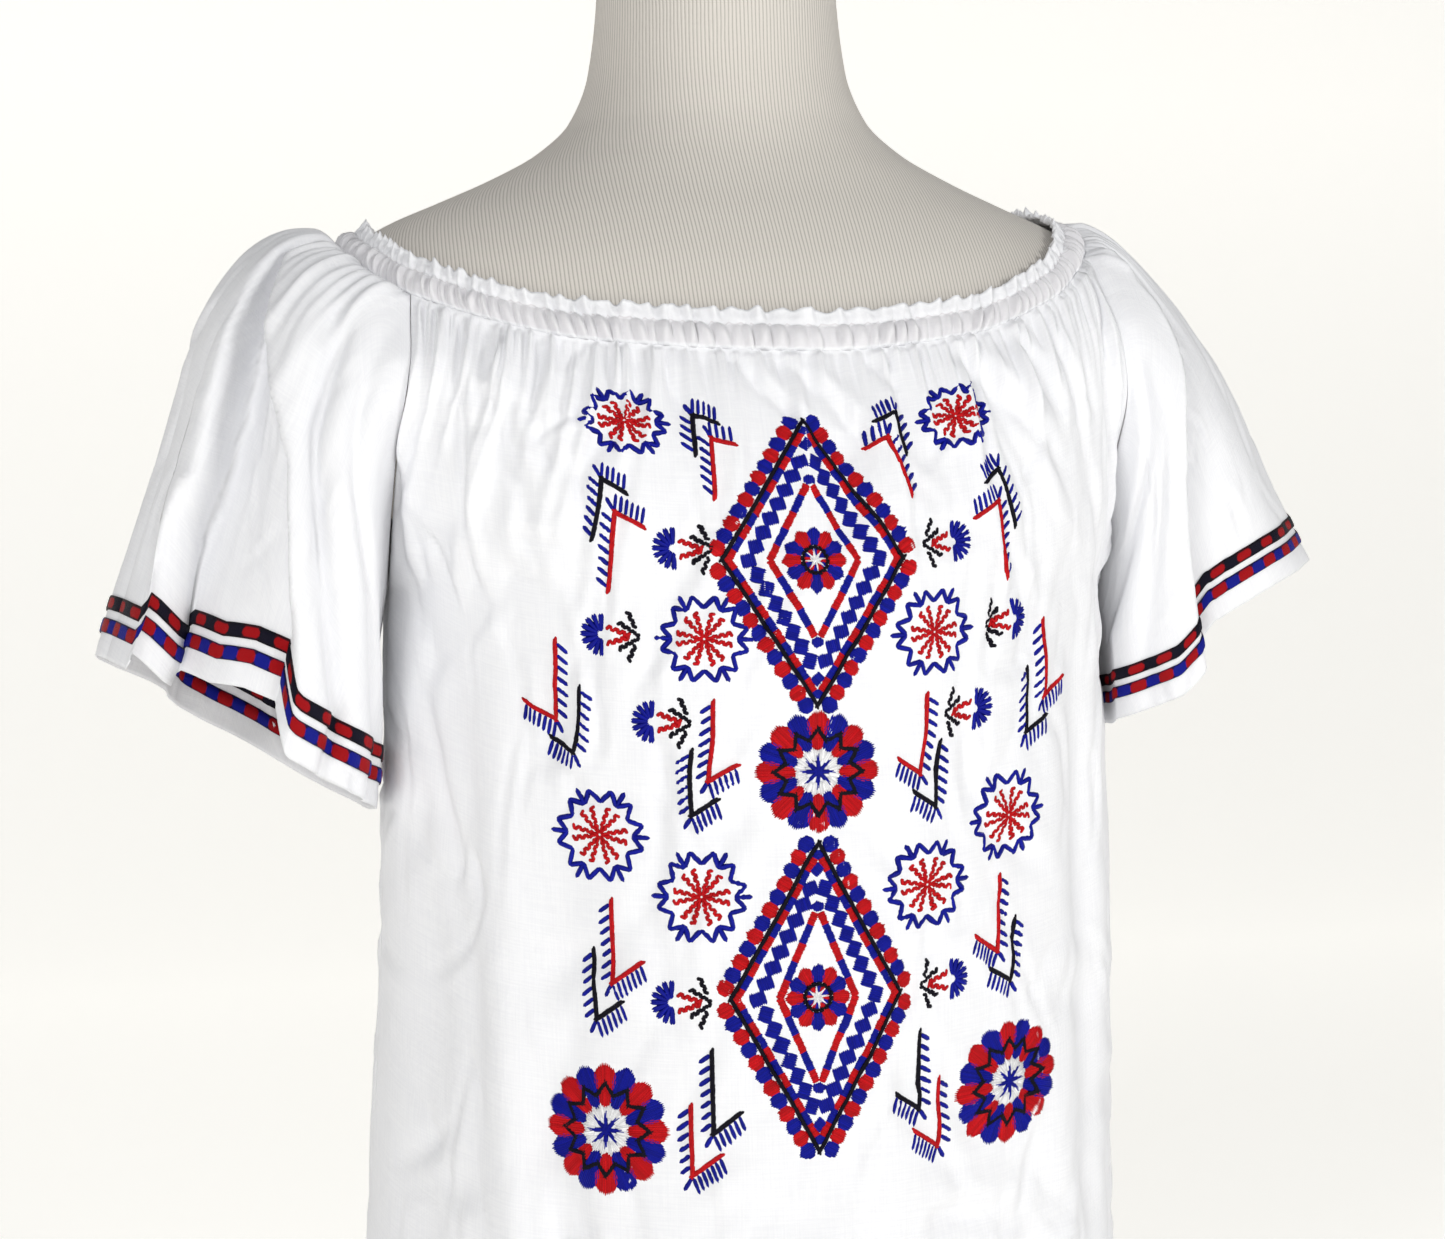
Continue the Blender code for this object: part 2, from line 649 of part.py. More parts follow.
def at_lengths(points, wanted_from_end):
    """Places along a polyline of points, by their length back from its end."""
    lengths = np.concatenate([[0], np.cumsum(np.linalg.norm(np.diff(points, axis=0), axis=1))])
    total = lengths[-1]
    return [np.array([np.interp(total - w, lengths, points[:, axis]) for axis in range(3)]) for w in wanted_from_end(total)]


def hem_distances(total):
    """Rows of a sleeve column as lengths back from the hem: even ones, then the edges of the bands."""
    plain = total - UPPER_BAND[1]
    even = [total - plain * row / SLEEVE_ROWS for row in range(SLEEVE_ROWS + 1)]
    return even + [UPPER_BAND[0], LOWER_BAND[1], LOWER_BAND[0], 0.0]


def clear_of_body(point, gap):
    """The point, moved sideways until it is a gap outside the body of the blouse."""
    x, y, z = point
    down = underarm_down(z)
    if down is None:
        return point
    seam = seam_numbers("front", down)
    half = (seam["left"] if x < 0 else seam["right"]) + gap
    depth = abs(PANEL_CURVES["front" if y < seam["y"] else "back"]["centre_y"](down) - seam["y"]) + gap
    level = math.hypot(x / half, (y - seam["y"]) / depth)
    if level >= 1:
        return point
    return np.array((math.copysign(half * math.sqrt(max(1 - ((y - seam["y"]) / depth) ** 2, 0.0)), x), y, z))


def underarm_down(z):
    """How far down the side seam a height lies, or None above the underarm."""
    heights = [p.z for p in SIDE_SEAM][::-1]
    downs = [p.down for p in SIDE_SEAM][::-1]
    if z > heights[-1]:
        return None
    return float(np.interp(z, heights, downs))


def plain_sleeve_rows(name):
    sign = -1 if name == "left" else 1
    leave, arrive = flow_curves(name)
    outwards = np.array((sign, 1.0, 1.0))
    start = sleeve_start(name)
    columns = []
    for point, _, share in start:
        turn = share * 360
        end = cuff_point(name, turn)
        first = point + np.array([c(turn) for c in leave]) * outwards
        second = end + np.array([c(turn) for c in arrive]) * outwards
        fine = np.array([bezier((point, first, second, end), s) for s in np.linspace(0, 1, 61)])
        columns.append(at_lengths(fine, hem_distances))
    rows = [list(row) for row in zip(*columns)]
    return rows, start


def grid_normals(rows, closed, outwards_of):
    """Normals of a grid of points, pointing away from the given middle line."""
    normals = []
    for r, row in enumerate(rows):
        above, below = rows[max(r - 1, 0)], rows[min(r + 1, len(rows) - 1)]
        line = []
        for i, point in enumerate(row):
            before, after = row[i - 1], row[(i + 1) % len(row)]
            normal = unit(np.cross(after - before, below[i] - above[i]))
            line.append(normal)
        middle = sum(row) / len(row)
        if sum(np.dot(n, p - middle) for n, p in zip(line, row)) < 0:
            line = [-n for n in line]
        normals.append(line)
    return normals


def sleeve_rows(name):
    rows, start = plain_sleeve_rows(name)
    plain_normals = grid_normals(rows, True, None)
    last = len(rows) - 1
    shaped = [[p for p in rows[0]]]
    for r in range(1, len(rows)):
        line = []
        for i, (point, normal) in enumerate(zip(rows[r], plain_normals[r])):
            share = start[i][2]
            along = r / SLEEVE_ROWS if r <= SLEEVE_ROWS else 1.0
            height = sum(fold_height(f, share * 360, along) for f in SLEEVE_FOLDS[name])
            if NECK_FEED[0] <= share < NECK_FEED[1]:
                index = round((share - NECK_FEED[0]) / (NECK_FEED[1] - NECK_FEED[0]) * 2 * SLEEVE_GATHERS)
                height += gather_height(index, 0.12 + 0.5 * (r - 1) / SLEEVE_ROWS)
            moved = point + normal * height
            moved = clear_of_form(moved, REST_GAP + CLOTH)
            if r > 1 or point[2] < SIDE_SEAM[0].z:
                moved = clear_of_body(moved, CLOTH + SLEEVE_AIR * min(r / 3, 1))
            line.append(moved)
        shaped.append(line)
    normals = grid_normals(shaped, True, None)
    normals[0] = [entry[1] for entry in start]
    return shaped, normals


def make_sleeve(name, rows, normals):
    points = [list(row) for row in rows]
    points[0] = pulled_in(points[0], points[1], SEAM_GAP / 2)
    return add_wall(f"sleeve_{name}", points, moved_in(points, normals, CLOTH), True, "white_cotton")


def make_band(name, which, rows, normals):
    """A satin-stitched band laid on the sleeve between two of its rows."""
    top = len(rows) - (5 if which == "upper" else 3)
    picked = (top, top + 1)
    low = [rows[r] for r in picked]
    ways = [normals[r] for r in picked]
    inner = [[p + n * BAND_GAP for p, n in zip(row, line)] for row, line in zip(low, ways)]
    outer = [[p + n * (BAND_GAP + BAND_THICKNESS) for p, n in zip(row, line)] for row, line in zip(low, ways)]
    finish = "black_red_thread" if which == "upper" else "blue_red_thread"
    return add_wall(f"band_{which}_{name}", outer, inner, True, finish)


def form_heights():
    """Heights of the form's rings, close together where its outline turns."""
    heights = [FORM[0].z]
    for low, high in zip(FORM, FORM[1:]):
        length = math.hypot(high.z - low.z, high.half_width - low.half_width)
        parts = max(1, math.ceil(length / FORM_STEP))
        heights += [low.z + (high.z - low.z) * (i + 1) / parts for i in range(parts)]
    return heights


def make_form():
    builder = bmesh.new()
    rings = []
    heights = form_heights()
    heights[-1] -= NECK_CAP_ROUND
    for z in heights:
        rings.append([builder.verts.new(form_point(2 * math.pi * i / FORM_COLUMNS, z)) for i in range(FORM_COLUMNS)])
    top = FORM[-1].z
    middle = np.array((0.0, (FORM[-1].front + FORM[-1].back) / 2, top))
    inset = [middle + (form_point(2 * math.pi * i / FORM_COLUMNS, top) - middle) * (1 - NECK_CAP_ROUND / FORM[-1].half_width) for i in range(FORM_COLUMNS)]
    rings.append([builder.verts.new(p) for p in inset])
    for lower, upper in zip(rings, rings[1:]):
        skin_between(builder, lower, upper, True)
    builder.faces.new(rings[0][::-1])
    builder.faces.new(rings[-1])
    bmesh.ops.recalc_face_normals(builder, faces=builder.faces)
    return add_object("dress_form", builder, "grey_jersey")


def main():
    for obj in list(bpy.data.objects):
        bpy.data.objects.remove(obj)
    make_form()
    make_neck_casing()
    for side in ("front", "back"):
        make_panel(side)
    for name in ("left", "right"):
        rows, normals = sleeve_rows(name)
        make_sleeve(name, rows, normals)
        make_band(name, "upper", rows, normals)
        make_band(name, "lower", rows, normals)


main()
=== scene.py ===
# Off-shoulder blouse with a gathered neckline, worn on a limbless dress form
import math
import bmesh
import bpy
import numpy as np
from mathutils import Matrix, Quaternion, Vector


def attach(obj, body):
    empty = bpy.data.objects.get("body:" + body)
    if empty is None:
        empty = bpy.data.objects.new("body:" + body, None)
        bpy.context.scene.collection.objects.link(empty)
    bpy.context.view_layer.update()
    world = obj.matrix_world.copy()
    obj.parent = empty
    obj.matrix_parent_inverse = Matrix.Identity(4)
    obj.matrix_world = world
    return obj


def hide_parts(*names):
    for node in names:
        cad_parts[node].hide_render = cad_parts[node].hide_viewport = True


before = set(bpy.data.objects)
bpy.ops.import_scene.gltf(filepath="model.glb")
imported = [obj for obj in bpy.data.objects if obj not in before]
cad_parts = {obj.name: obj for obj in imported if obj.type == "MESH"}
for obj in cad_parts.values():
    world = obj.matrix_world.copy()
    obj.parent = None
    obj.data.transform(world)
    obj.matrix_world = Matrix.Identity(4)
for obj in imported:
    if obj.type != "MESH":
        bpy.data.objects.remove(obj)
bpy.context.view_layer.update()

cloth = {
    "solidWall": 0.0012,  # wall of the solids that the shells stand for
    "restGap": 0.0012,
    "thickness": 0.0005,
}
seamTurn = math.radians(54)


# Curves and small maths

def curveThrough(keys, values):
    keys, values = np.array(keys, float), np.array(values, float)
    steps = np.diff(keys)
    slopes = np.diff(values) / steps
    tangents = np.zeros(len(keys))
    tangents[0], tangents[-1] = slopes[0], slopes[-1]
    for i in range(1, len(keys) - 1):
        before, after = slopes[i - 1], slopes[i]
        near, far = 2 * steps[i] + steps[i - 1], steps[i] + 2 * steps[i - 1]
        tangents[i] = (near + far) / (near / before + far / after) if before * after > 0 else 0.0

    def value(key):
        key = np.clip(key, keys[0], keys[-1])
        i = np.clip(np.searchsorted(keys, key, side="right") - 1, 0, len(steps) - 1)
        s = (key - keys[i]) / steps[i]
        ease = s * s * (3 - 2 * s)
        bend = steps[i] * s * (1 - s) * (tangents[i] * (1 - s) - tangents[i + 1] * s)
        return values[i] * (1 - ease) + values[i + 1] * ease + bend

    return value


def ringCurve(keys, values, whole):
    keys, values = list(keys), list(values)
    around = curveThrough(
        [keys[-2] - whole, keys[-1] - whole] + keys + [keys[0] + whole, keys[1] + whole],
        values[-2:] + values + values[:2],
    )
    return lambda key: around(keys[0] + (key - keys[0]) % whole)


def tableCurves(rows, parts):  # a curve for each of these columns of a table, over its first column
    return [curveThrough([row[0] for row in rows], [row[k] for row in rows]) for k in parts]


def ramp(value, start, end):
    s = np.clip((value - start) / (end - start), 0.0, 1.0)
    return s * s * (3 - 2 * s)


def lengthOf(vectors):
    return np.sqrt((vectors * vectors).sum(axis=-1))


def unit(vectors):
    return vectors / np.maximum(lengthOf(vectors), 1e-12)[..., None]


def runningLength(points, axis):  # how far each point is along its row or column, from the first one
    lengths = np.cumsum(lengthOf(np.diff(points, axis=axis)), axis=axis)
    return np.concatenate([np.zeros_like(np.take(lengths, [0], axis=axis)), lengths], axis=axis)


# Dress form: the sections of the solid, from the floor up

formSections = [  # z, half width, front, back, squareness
    (0, 0.14, -0.1, 0.098, 2.2),
    (0.08, 0.138, -0.102, 0.1, 2.2),
    (0.16, 0.124, -0.098, 0.088, 2.2),
    (0.24, 0.112, -0.092, 0.076, 2.2),
    (0.31, 0.122, -0.1, 0.08, 2.2),
    (0.38, 0.142, -0.114, 0.09, 2.2),
    (0.415, 0.147, -0.117, 0.096, 2.2),
    (0.45, 0.151, -0.112, 0.102, 2.25),
    (0.49, 0.164, -0.101, 0.107, 2.25),
    (0.53, 0.18, -0.088, 0.11, 2.25),
    (0.55, 0.184, -0.079, 0.11, 2.25),
    (0.565, 0.18, -0.071, 0.11, 2.2),
    (0.577, 0.169, -0.063, 0.109, 2.15),
    (0.588, 0.152, -0.055, 0.107, 2.1),
    (0.598, 0.13, -0.047, 0.105, 2.1),
    (0.609, 0.106, -0.039, 0.102, 2.1),
    (0.622, 0.083, -0.031, 0.098, 2.05),
    (0.637, 0.067, -0.025, 0.094, 2),
    (0.66, 0.0575, -0.021, 0.09, 2),
    (0.7, 0.053, -0.02, 0.086, 2),
    (0.74, 0.052, -0.019, 0.084, 2),
]
formCurves = tableCurves(formSections, range(1, 5))
neckline = [  # turn in degrees, height of the casing's lower edge
    (-126, 0.571), (-90, 0.575), (-69, 0.565), (-54, 0.551), (-24, 0.529), (0, 0.525),
    (21, 0.533), (37, 0.55), (54, 0.571), (90, 0.589), (126, 0.582), (180, 0.57),
]
neckEdge = ringCurve([n[0] for n in neckline], [n[1] for n in neckline], 360)


def formPoint(turn, z):
    halfWidth, front, back, square = (curve(z) for curve in formCurves)
    s, c = np.sin(turn), np.cos(turn)
    x = halfWidth * np.sign(s) * np.abs(s) ** (2 / square)
    y = (front + back) / 2 - (back - front) / 2 * np.sign(c) * np.abs(c) ** (2 / square)
    return np.stack(np.broadcast_arrays(x, y, z), axis=-1)


def formLevel(points):
    halfWidth, front, back, square = (curve(points[..., 2]) for curve in formCurves)
    across = np.abs(points[..., 0]) / halfWidth
    along = np.abs(points[..., 1] - (front + back) / 2) / ((back - front) / 2)
    return (across**square + along**square) ** (1 / square)


def formSlope(points):
    step = 0.0005
    shifts = np.eye(3) * step
    return np.stack([formLevel(points + s) - formLevel(points - s) for s in shifts], axis=-1) / (2 * step)


def formNormal(points):
    return unit(formSlope(points))


def clearOfForm(points, gap):
    for _ in range(4):
        slope = formSlope(points)
        size = lengthOf(slope)
        distance = (formLevel(points) - 1) / size
        push = np.maximum(gap - distance, 0)
        points = points + slope / size[..., None] * push[..., None]
    return points


def aboveNeckline(turn, ups):  # points on the form, these lengths up its skin from the casing's lower edge
    rise = np.arange(-0.003, 0.036, 0.0003)
    skin = formPoint(turn[:, None], neckEdge(np.degrees(turn))[:, None] + rise[None, :])
    lengths = runningLength(skin, 1)
    lengths -= lengths[:, 10:11]  # where the rise is 0
    rows = []
    for up in ups:
        up = np.broadcast_to(up, turn.shape)
        spot = np.clip((lengths < up[:, None]).sum(axis=1) - 1, 0, len(rise) - 2)
        pick = np.arange(len(turn))
        share = (up - lengths[pick, spot]) / np.maximum(lengths[pick, spot + 1] - lengths[pick, spot], 1e-9)
        rows.append(skin[pick, spot] + (skin[pick, spot + 1] - skin[pick, spot]) * share[:, None])
    return np.array(rows)


def neckEdgeOuter(turn):
    skin = formPoint(turn, neckEdge(np.degrees(turn)))
    return skin + formNormal(skin) * (cloth["restGap"] + cloth["solidWall"])


# Body of the blouse: centre lines and seams, with down 0 at the neckline, 1 at the underarm, 2 at the hem

centreLines = {
    "front": [  # down, z, y
        (0, 0.525, -0.093), (0.25, 0.502, -0.104), (0.5, 0.478, -0.113), (0.75, 0.452, -0.1195),
        (1, 0.425, -0.1235), (1.3, 0.33, -0.126), (1.6, 0.205, -0.128), (2, 0.045, -0.131),
    ],
    "back": [
        (0, 0.57, 0.112), (0.25, 0.54, 0.117), (0.5, 0.505, 0.119), (0.75, 0.47, 0.118),
        (1, 0.432, 0.116), (1.3, 0.335, 0.114), (1.6, 0.205, 0.116), (2, 0.045, 0.12),
    ],
}
seamLines = {
    "front": [  # down, left half width, right half width, y, z
        (0, 0.152, 0.14, -0.04, 0.556), (0.3, 0.158, 0.147, -0.05, 0.528),
        (0.6, 0.161, 0.151, -0.045, 0.492), (0.82, 0.16, 0.155, -0.025, 0.457),
        (1, 0.157, 0.158, 0.004, 0.432),
    ],
    "back": [
        (0, 0.148, 0.14, 0.075, 0.572), (0.3, 0.156, 0.149, 0.072, 0.538),
        (0.6, 0.16, 0.152, 0.056, 0.496), (0.82, 0.159, 0.155, 0.032, 0.457),
        (1, 0.157, 0.158, 0.004, 0.432),
    ],
    "side": [
        (1, 0.157, 0.158, 0.004, 0.432), (1.25, 0.16, 0.161, 0.002, 0.36),
        (1.5, 0.164, 0.161, 0, 0.27), (1.75, 0.172, 0.159, -0.002, 0.15),
        (2, 0.18, 0.157, -0.004, 0.045),
    ],
}
bodyFolds = {
    "front": [  # place at the top, place at the hem, width, depth, start, full
        (-0.86, -0.72, 0.09, -0.0055, 0.35, 1.3), (-0.62, -0.38, 0.08, -0.0055, 0.55, 1.9),
        (-0.3, -0.12, 0.1, 0.005, 1.1, 2), (0.16, 0.2, 0.11, -0.006, 1.35, 2),
        (0.45, 0.5, 0.1, 0.0055, 1.2, 2), (0.78, 0.8, 0.09, -0.0065, 0.5, 1.9),
    ],
    "back": [
        (-0.8, -0.74, 0.1, -0.008, 0.5, 1.8), (-0.45, -0.42, 0.11, 0.0085, 0.7, 2),
        (-0.12, -0.1, 0.1, -0.0095, 0.8, 2), (0.2, 0.24, 0.1, 0.0085, 0.75, 2),
        (0.5, 0.55, 0.1, -0.009, 0.6, 2), (0.82, 0.86, 0.08, 0.006, 0.6, 1.8),
    ],
}
centreCurves = {side: tableCurves(rows, (1, 2)) for side, rows in centreLines.items()}
seamCurves = {side: tableCurves(rows, range(1, 5)) for side, rows in seamLines.items()}


def seamNumbers(side, down):  # left half width, right half width, y and z of the panel's edge
    return [np.where(down < 1, a(down), b(down)) for a, b in zip(seamCurves[side], seamCurves["side"])]


def rawPanelPoint(side, across, down):
    left, right, seamY, seamZ = seamNumbers(side, down)
    centreZ, centreY = (curve(down) for curve in centreCurves[side])
    sweep = seamTurn + (math.pi / 2 - seamTurn) * ramp(down, 0, 1)
    angle = across * sweep
    rise = (1 - np.cos(angle)) / (1 - np.cos(sweep))
    x = np.where(across < 0, left, right) * np.sin(angle) / np.sin(sweep)
    return np.stack([x, centreY + (seamY - centreY) * rise, centreZ + (seamZ - centreZ) * rise], axis=-1)


def panelTurn(side, across):
    return across * seamTurn if side == "front" else math.pi - across * seamTurn


def smoothPanelPoint(side, across, down):
    across, down = np.broadcast_arrays(np.asarray(across, float), np.asarray(down, float))
    missed = neckEdgeOuter(panelTurn(side, across)) - rawPanelPoint(side, across, np.zeros_like(down))
    pull = np.where(down < 1, (1 - ramp(down, 0, 1)) ** 1.5, 0.0)
    point = rawPanelPoint(side, across, down) + missed * pull[..., None]
    return clearOfForm(point, cloth["restGap"] + cloth["solidWall"])


def gridNormals(points, closed):  # points are rows by columns, and the normals point away from the rows' middles
    if closed:
        along = np.roll(points, -1, axis=1) - np.roll(points, 1, axis=1)
    else:
        along = np.gradient(points, axis=1)
    normals = unit(np.cross(along, np.gradient(points, axis=0)))
    outwards = points - points.mean(axis=1, keepdims=True)
    outwards[..., 2] = 0
    return normals if (normals * outwards).sum() > 0 else -normals


def clothLengths(points, middle):  # how far each point is across from the middle column, and down from the top row
    across = runningLength(points, 1)
    return across - across[:, middle:middle + 1], runningLength(points, 0)


# Wrinkles: every one is a soft trough with a low ridge beside it

def creaseHeight(s, t, path, width, depth):
    nearest = np.full(s.shape, 1e9)
    signed = np.zeros(s.shape)
    along = np.zeros(s.shape)
    pieces = list(zip(path, path[1:]))
    for i, ((s0, t0), (s1, t1)) in enumerate(pieces):
        ds, dt = s1 - s0, t1 - t0
        size = ds * ds + dt * dt
        share = np.clip(((s - s0) * ds + (t - t0) * dt) / size, 0, 1)
        offS, offT = s - s0 - ds * share, t - t0 - dt * share
        distance = np.hypot(offS, offT)
        closer = distance < nearest
        nearest = np.where(closer, distance, nearest)
        side = np.sign(offS * dt - offT * ds)
        signed = np.where(closer, distance * np.where(side == 0, 1, side), signed)
        along = np.where(closer, (i + share) / len(pieces), along)
    swell = np.sin(math.pi * np.clip(along * 0.86 + 0.07, 0, 1)) ** 0.8
    trough = np.exp(-((signed / width) ** 2))
    ridge = np.exp(-(((signed - 1.7 * width) / (1.2 * width)) ** 2))
    return -depth * swell * (trough - 0.55 * ridge)


def addCreases(height, s, t, creases):
    for path, width, depth in creases:
        lowS, highS = min(p[0] for p in path) - 4 * width, max(p[0] for p in path) + 4 * width
        lowT, highT = min(p[1] for p in path) - 4 * width, max(p[1] for p in path) + 4 * width
        near = (s > lowS) & (s < highS) & (t > lowT) & (t < highT)
        if near.any():
            height[near] += creaseHeight(s[near], t[near], path, width, depth)


def scatteredCreases(seed, count, sRange, tRange, lengths, widths, depths, lean, leanSpread):
    random = np.random.default_rng(seed)
    creases = []
    for _ in range(count):
        s, t = random.uniform(*sRange), random.uniform(*tRange)
        size, angle = random.uniform(*lengths), math.radians(random.normal(lean, leanSpread))
        bend = math.radians(random.normal(0, 16))
        path = [(s, t)]
        for k in range(3):
            heading = angle + bend * (k - 1)
            s, t = s + math.sin(heading) * size / 3, t + math.cos(heading) * size / 3
            path.append((s, t))
        creases.append((path, random.uniform(*widths), random.uniform(*depths)))
    return creases


def softNoise(s, t, seed, waves, shortest, longest):  # a sum of plane waves, about -1 to 1
    random = np.random.default_rng(seed)
    total = np.zeros(s.shape)
    for _ in range(waves):
        turn, size, phase = random.uniform(0, math.pi), random.uniform(shortest, longest), random.uniform(0, 6.28)
        total += np.sin((s * math.cos(turn) + t * math.sin(turn)) * 2 * math.pi / size + phase)
    return total / math.sqrt(waves)


def gatherHeight(place, t, seed, count, span, depth, shortest, longest, spread):
    random = np.random.default_rng(seed)  # place runs from 0 to 1 along the gathered edge, and t is the length below it
    height = np.zeros(place.shape)
    pitch = span / count
    for i in range(count):
        middle = (i + 0.5 + random.uniform(-0.28, 0.28)) / count
        drift = random.normal(0, spread)
        reach = random.uniform(shortest, longest) * (2.6 if random.random() < 0.16 else 1.0)
        size = depth * random.uniform(0.40, 1.20)
        width = pitch * random.uniform(0.26, 0.36) * (1 + t / 0.05)
        away = (place - middle - drift * t) * span
        near = np.abs(away) < 4 * width
        fade = np.exp(-((t[near] / reach) ** 1.3)) * (0.50 + 0.50 * ramp(t[near], 0, 0.004))
        height[near] += size * np.exp(-((away[near] / width[near]) ** 2)) * fade
    return height - depth * 0.42 * np.exp(-t / ((shortest + longest) / 2))


# Meshes and finishes

def makeObject(name, points, faces, uvs, material):
    mesh = bpy.data.meshes.new(name)
    mesh.from_pydata([tuple(p) for p in points], [], [tuple(f) for f in faces])
    if uvs is not None:
        layer = mesh.uv_layers.new(name="cloth")
        corners = np.empty(len(mesh.loops), np.int32)
        mesh.loops.foreach_get("vertex_index", corners)
        layer.data.foreach_set("uv", np.asarray(uvs, np.float32)[corners].ravel())
    mesh.update()
    obj = bpy.data.objects.new(name, mesh)
    bpy.context.scene.collection.objects.link(obj)
    mesh.shade_smooth()
    mesh.materials.append(material)
    return obj


def gridFaces(rows, columns, closed):
    r, c = np.meshgrid(np.arange(rows - 1), np.arange(columns if closed else columns - 1), indexing="ij")
    after = (c + 1) % columns
    corners = [r * columns + c, r * columns + after, (r + 1) * columns + after, (r + 1) * columns + c]
    return np.stack(corners, axis=-1).reshape(-1, 4)


def outwardFaces(points, faces, normals):  # faces turned round where they point against the normals
    a, b, c = points[faces[:, 0]], points[faces[:, 1]], points[faces[:, 2]]
    wrong = (np.cross(b - a, c - b) * normals[faces[:, 0]]).sum() < 0
    return faces[:, ::-1] if wrong else faces


def repaired(obj, merge=0.0):  # close points merged, and faces turned outwards
    work = bmesh.new()
    work.from_mesh(obj.data)
    if merge:
        bmesh.ops.remove_doubles(work, verts=work.verts, dist=merge)
    bmesh.ops.recalc_face_normals(work, faces=work.faces)
    work.to_mesh(obj.data)
    work.free()
    return obj


def standsFor(obj, solid):
    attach(obj, "root")
    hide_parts(solid)
    return obj


def tucked(points, normals, uvs, edges, depth=0.0015, beyond=0.0005):  # the cloth turns in where it is sewn
    for edge in edges:
        axis, last = (0 if edge == "top" else 1), edge == "right"
        first, second = (np.take(points, [i], axis=axis) for i in ((-1, -2) if last else (0, 1)))
        way, uv = (np.take(old, [-1 if last else 0], axis=axis) for old in (normals, uvs))
        added = (first - way * depth + unit(first - second) * beyond, way, uv)
        points, normals, uvs = (
            np.concatenate([old, new] if last else [new, old], axis=axis)
            for old, new in zip((points, normals, uvs), added)
        )
    return points, normals, uvs


def clothSheet(name, points, normals, uvs, closed, material):
    rows, columns = points.shape[:2]
    flatPoints, flatNormals = points.reshape(-1, 3), normals.reshape(-1, 3)
    faces = outwardFaces(flatPoints, gridFaces(rows, columns, closed), flatNormals)
    obj = makeObject(name, flatPoints, faces, uvs.reshape(-1, 2), material)
    wall = obj.modifiers.new("wall", "SOLIDIFY")
    wall.thickness = cloth["thickness"]
    wall.offset = -1
    wall.use_even_offset = False
    for other in bpy.context.selected_objects:
        other.select_set(False)
    bpy.context.view_layer.objects.active = obj
    obj.select_set(True)
    bpy.ops.object.modifier_apply(modifier="wall")
    obj.data.shade_smooth()
    return obj


class Socket:  # one output of a material's node, with the operators that shader maths needs
    def __init__(self, tree, output):
        self.tree, self.output = tree, output

    def maths(self, operation, *others):
        return node(self.tree, "ShaderNodeMath", {"operation": operation}, [self, *others])

    def reversed(self, operation, other):
        return node(self.tree, "ShaderNodeMath", {"operation": operation}, [other, self])

    def __add__(self, other): return self.maths("ADD", other)
    def __sub__(self, other): return self.maths("SUBTRACT", other)
    def __mul__(self, other): return self.maths("MULTIPLY", other)
    def __truediv__(self, other): return self.maths("DIVIDE", other)
    def __mod__(self, other): return self.maths("FLOORED_MODULO", other)
    def __radd__(self, other): return self.reversed("ADD", other)
    def __rsub__(self, other): return self.reversed("SUBTRACT", other)

    def part(self, index):
        split = node(self.tree, "ShaderNodeSeparateXYZ", {}, [self])
        return Socket(self.tree, split.output.node.outputs[index])

    def smooth(self, low, high):
        return node(self.tree, "ShaderNodeMapRange", {"interpolation_type": "SMOOTHSTEP"}, [self, low, high, 0.0, 1.0])


def node(tree, kind, settings, values, output=0):
    made = tree.nodes.new(kind)
    for name, value in settings.items():
        setattr(made, name, value)
    pairs = values.items() if isinstance(values, dict) else enumerate(values)
    for key, value in pairs:
        if isinstance(value, Socket):
            tree.links.new(value.output, made.inputs[key])
        else:
            made.inputs[key].default_value = value
    return Socket(tree, made.outputs[output])


def newMaterial(name, colour, roughness, **constants):
    made = bpy.data.materials.new(name)
    made.use_nodes = True
    shader = made.node_tree.nodes["Principled BSDF"]
    shader.inputs["Base Color"].default_value = (*colour, 1.0)
    shader.inputs["Roughness"].default_value = roughness
    for key, value in constants.items():
        shader.inputs[key.replace("_", " ")].default_value = value
    return made, made.node_tree, shader


def plug(tree, value, shader, name):
    tree.links.new(value.output, shader.inputs[name])


def mixed(tree, share, first, second):
    made = tree.nodes.new("ShaderNodeMix")
    made.data_type = "RGBA"
    for key, value in ((0, share), (6, first), (7, second)):
        if isinstance(value, Socket):
            tree.links.new(value.output, made.inputs[key])
        else:
            made.inputs[key].default_value = value if key == 0 else (*value, 1.0)
    return Socket(tree, made.outputs[2])


def bumped(tree, height, strength, distance, normal=None):
    values = {"Strength": strength, "Distance": distance, "Height": height}
    if normal is not None:
        values["Normal"] = normal
    return node(tree, "ShaderNodeBump", {}, values)


def clothUv(tree):  # across and down the cloth, or along and across a thread
    uv = node(tree, "ShaderNodeUVMap", {"uv_map": "cloth"}, [])
    return uv.part(0), uv.part(1)


def flatNoise(tree, x, y, detail=2.0, roughness=0.5):
    place = node(tree, "ShaderNodeCombineXYZ", {}, [x, y, 0.0])
    values = {"Vector": place, "Scale": 1.0, "Detail": detail, "Roughness": roughness}
    return node(tree, "ShaderNodeTexNoise", {"noise_dimensions": "2D"}, values)


def wave(value, pitch):
    return (value * (2 * math.pi / pitch)).maths("SINE")


cottonLook = {
    "white": (0.86, 0.865, 0.885),
    "shade": (0.79, 0.795, 0.83),
    "roughness": 0.82,
    "threadPitch": 0.00042,
    "slubLength": 0.022,
    "slubsPerMetre": 1400,
    # painted shade colour for the casing's channel and the stitch line above it
    "channel": (0.68, 0.66, 0.68),
}


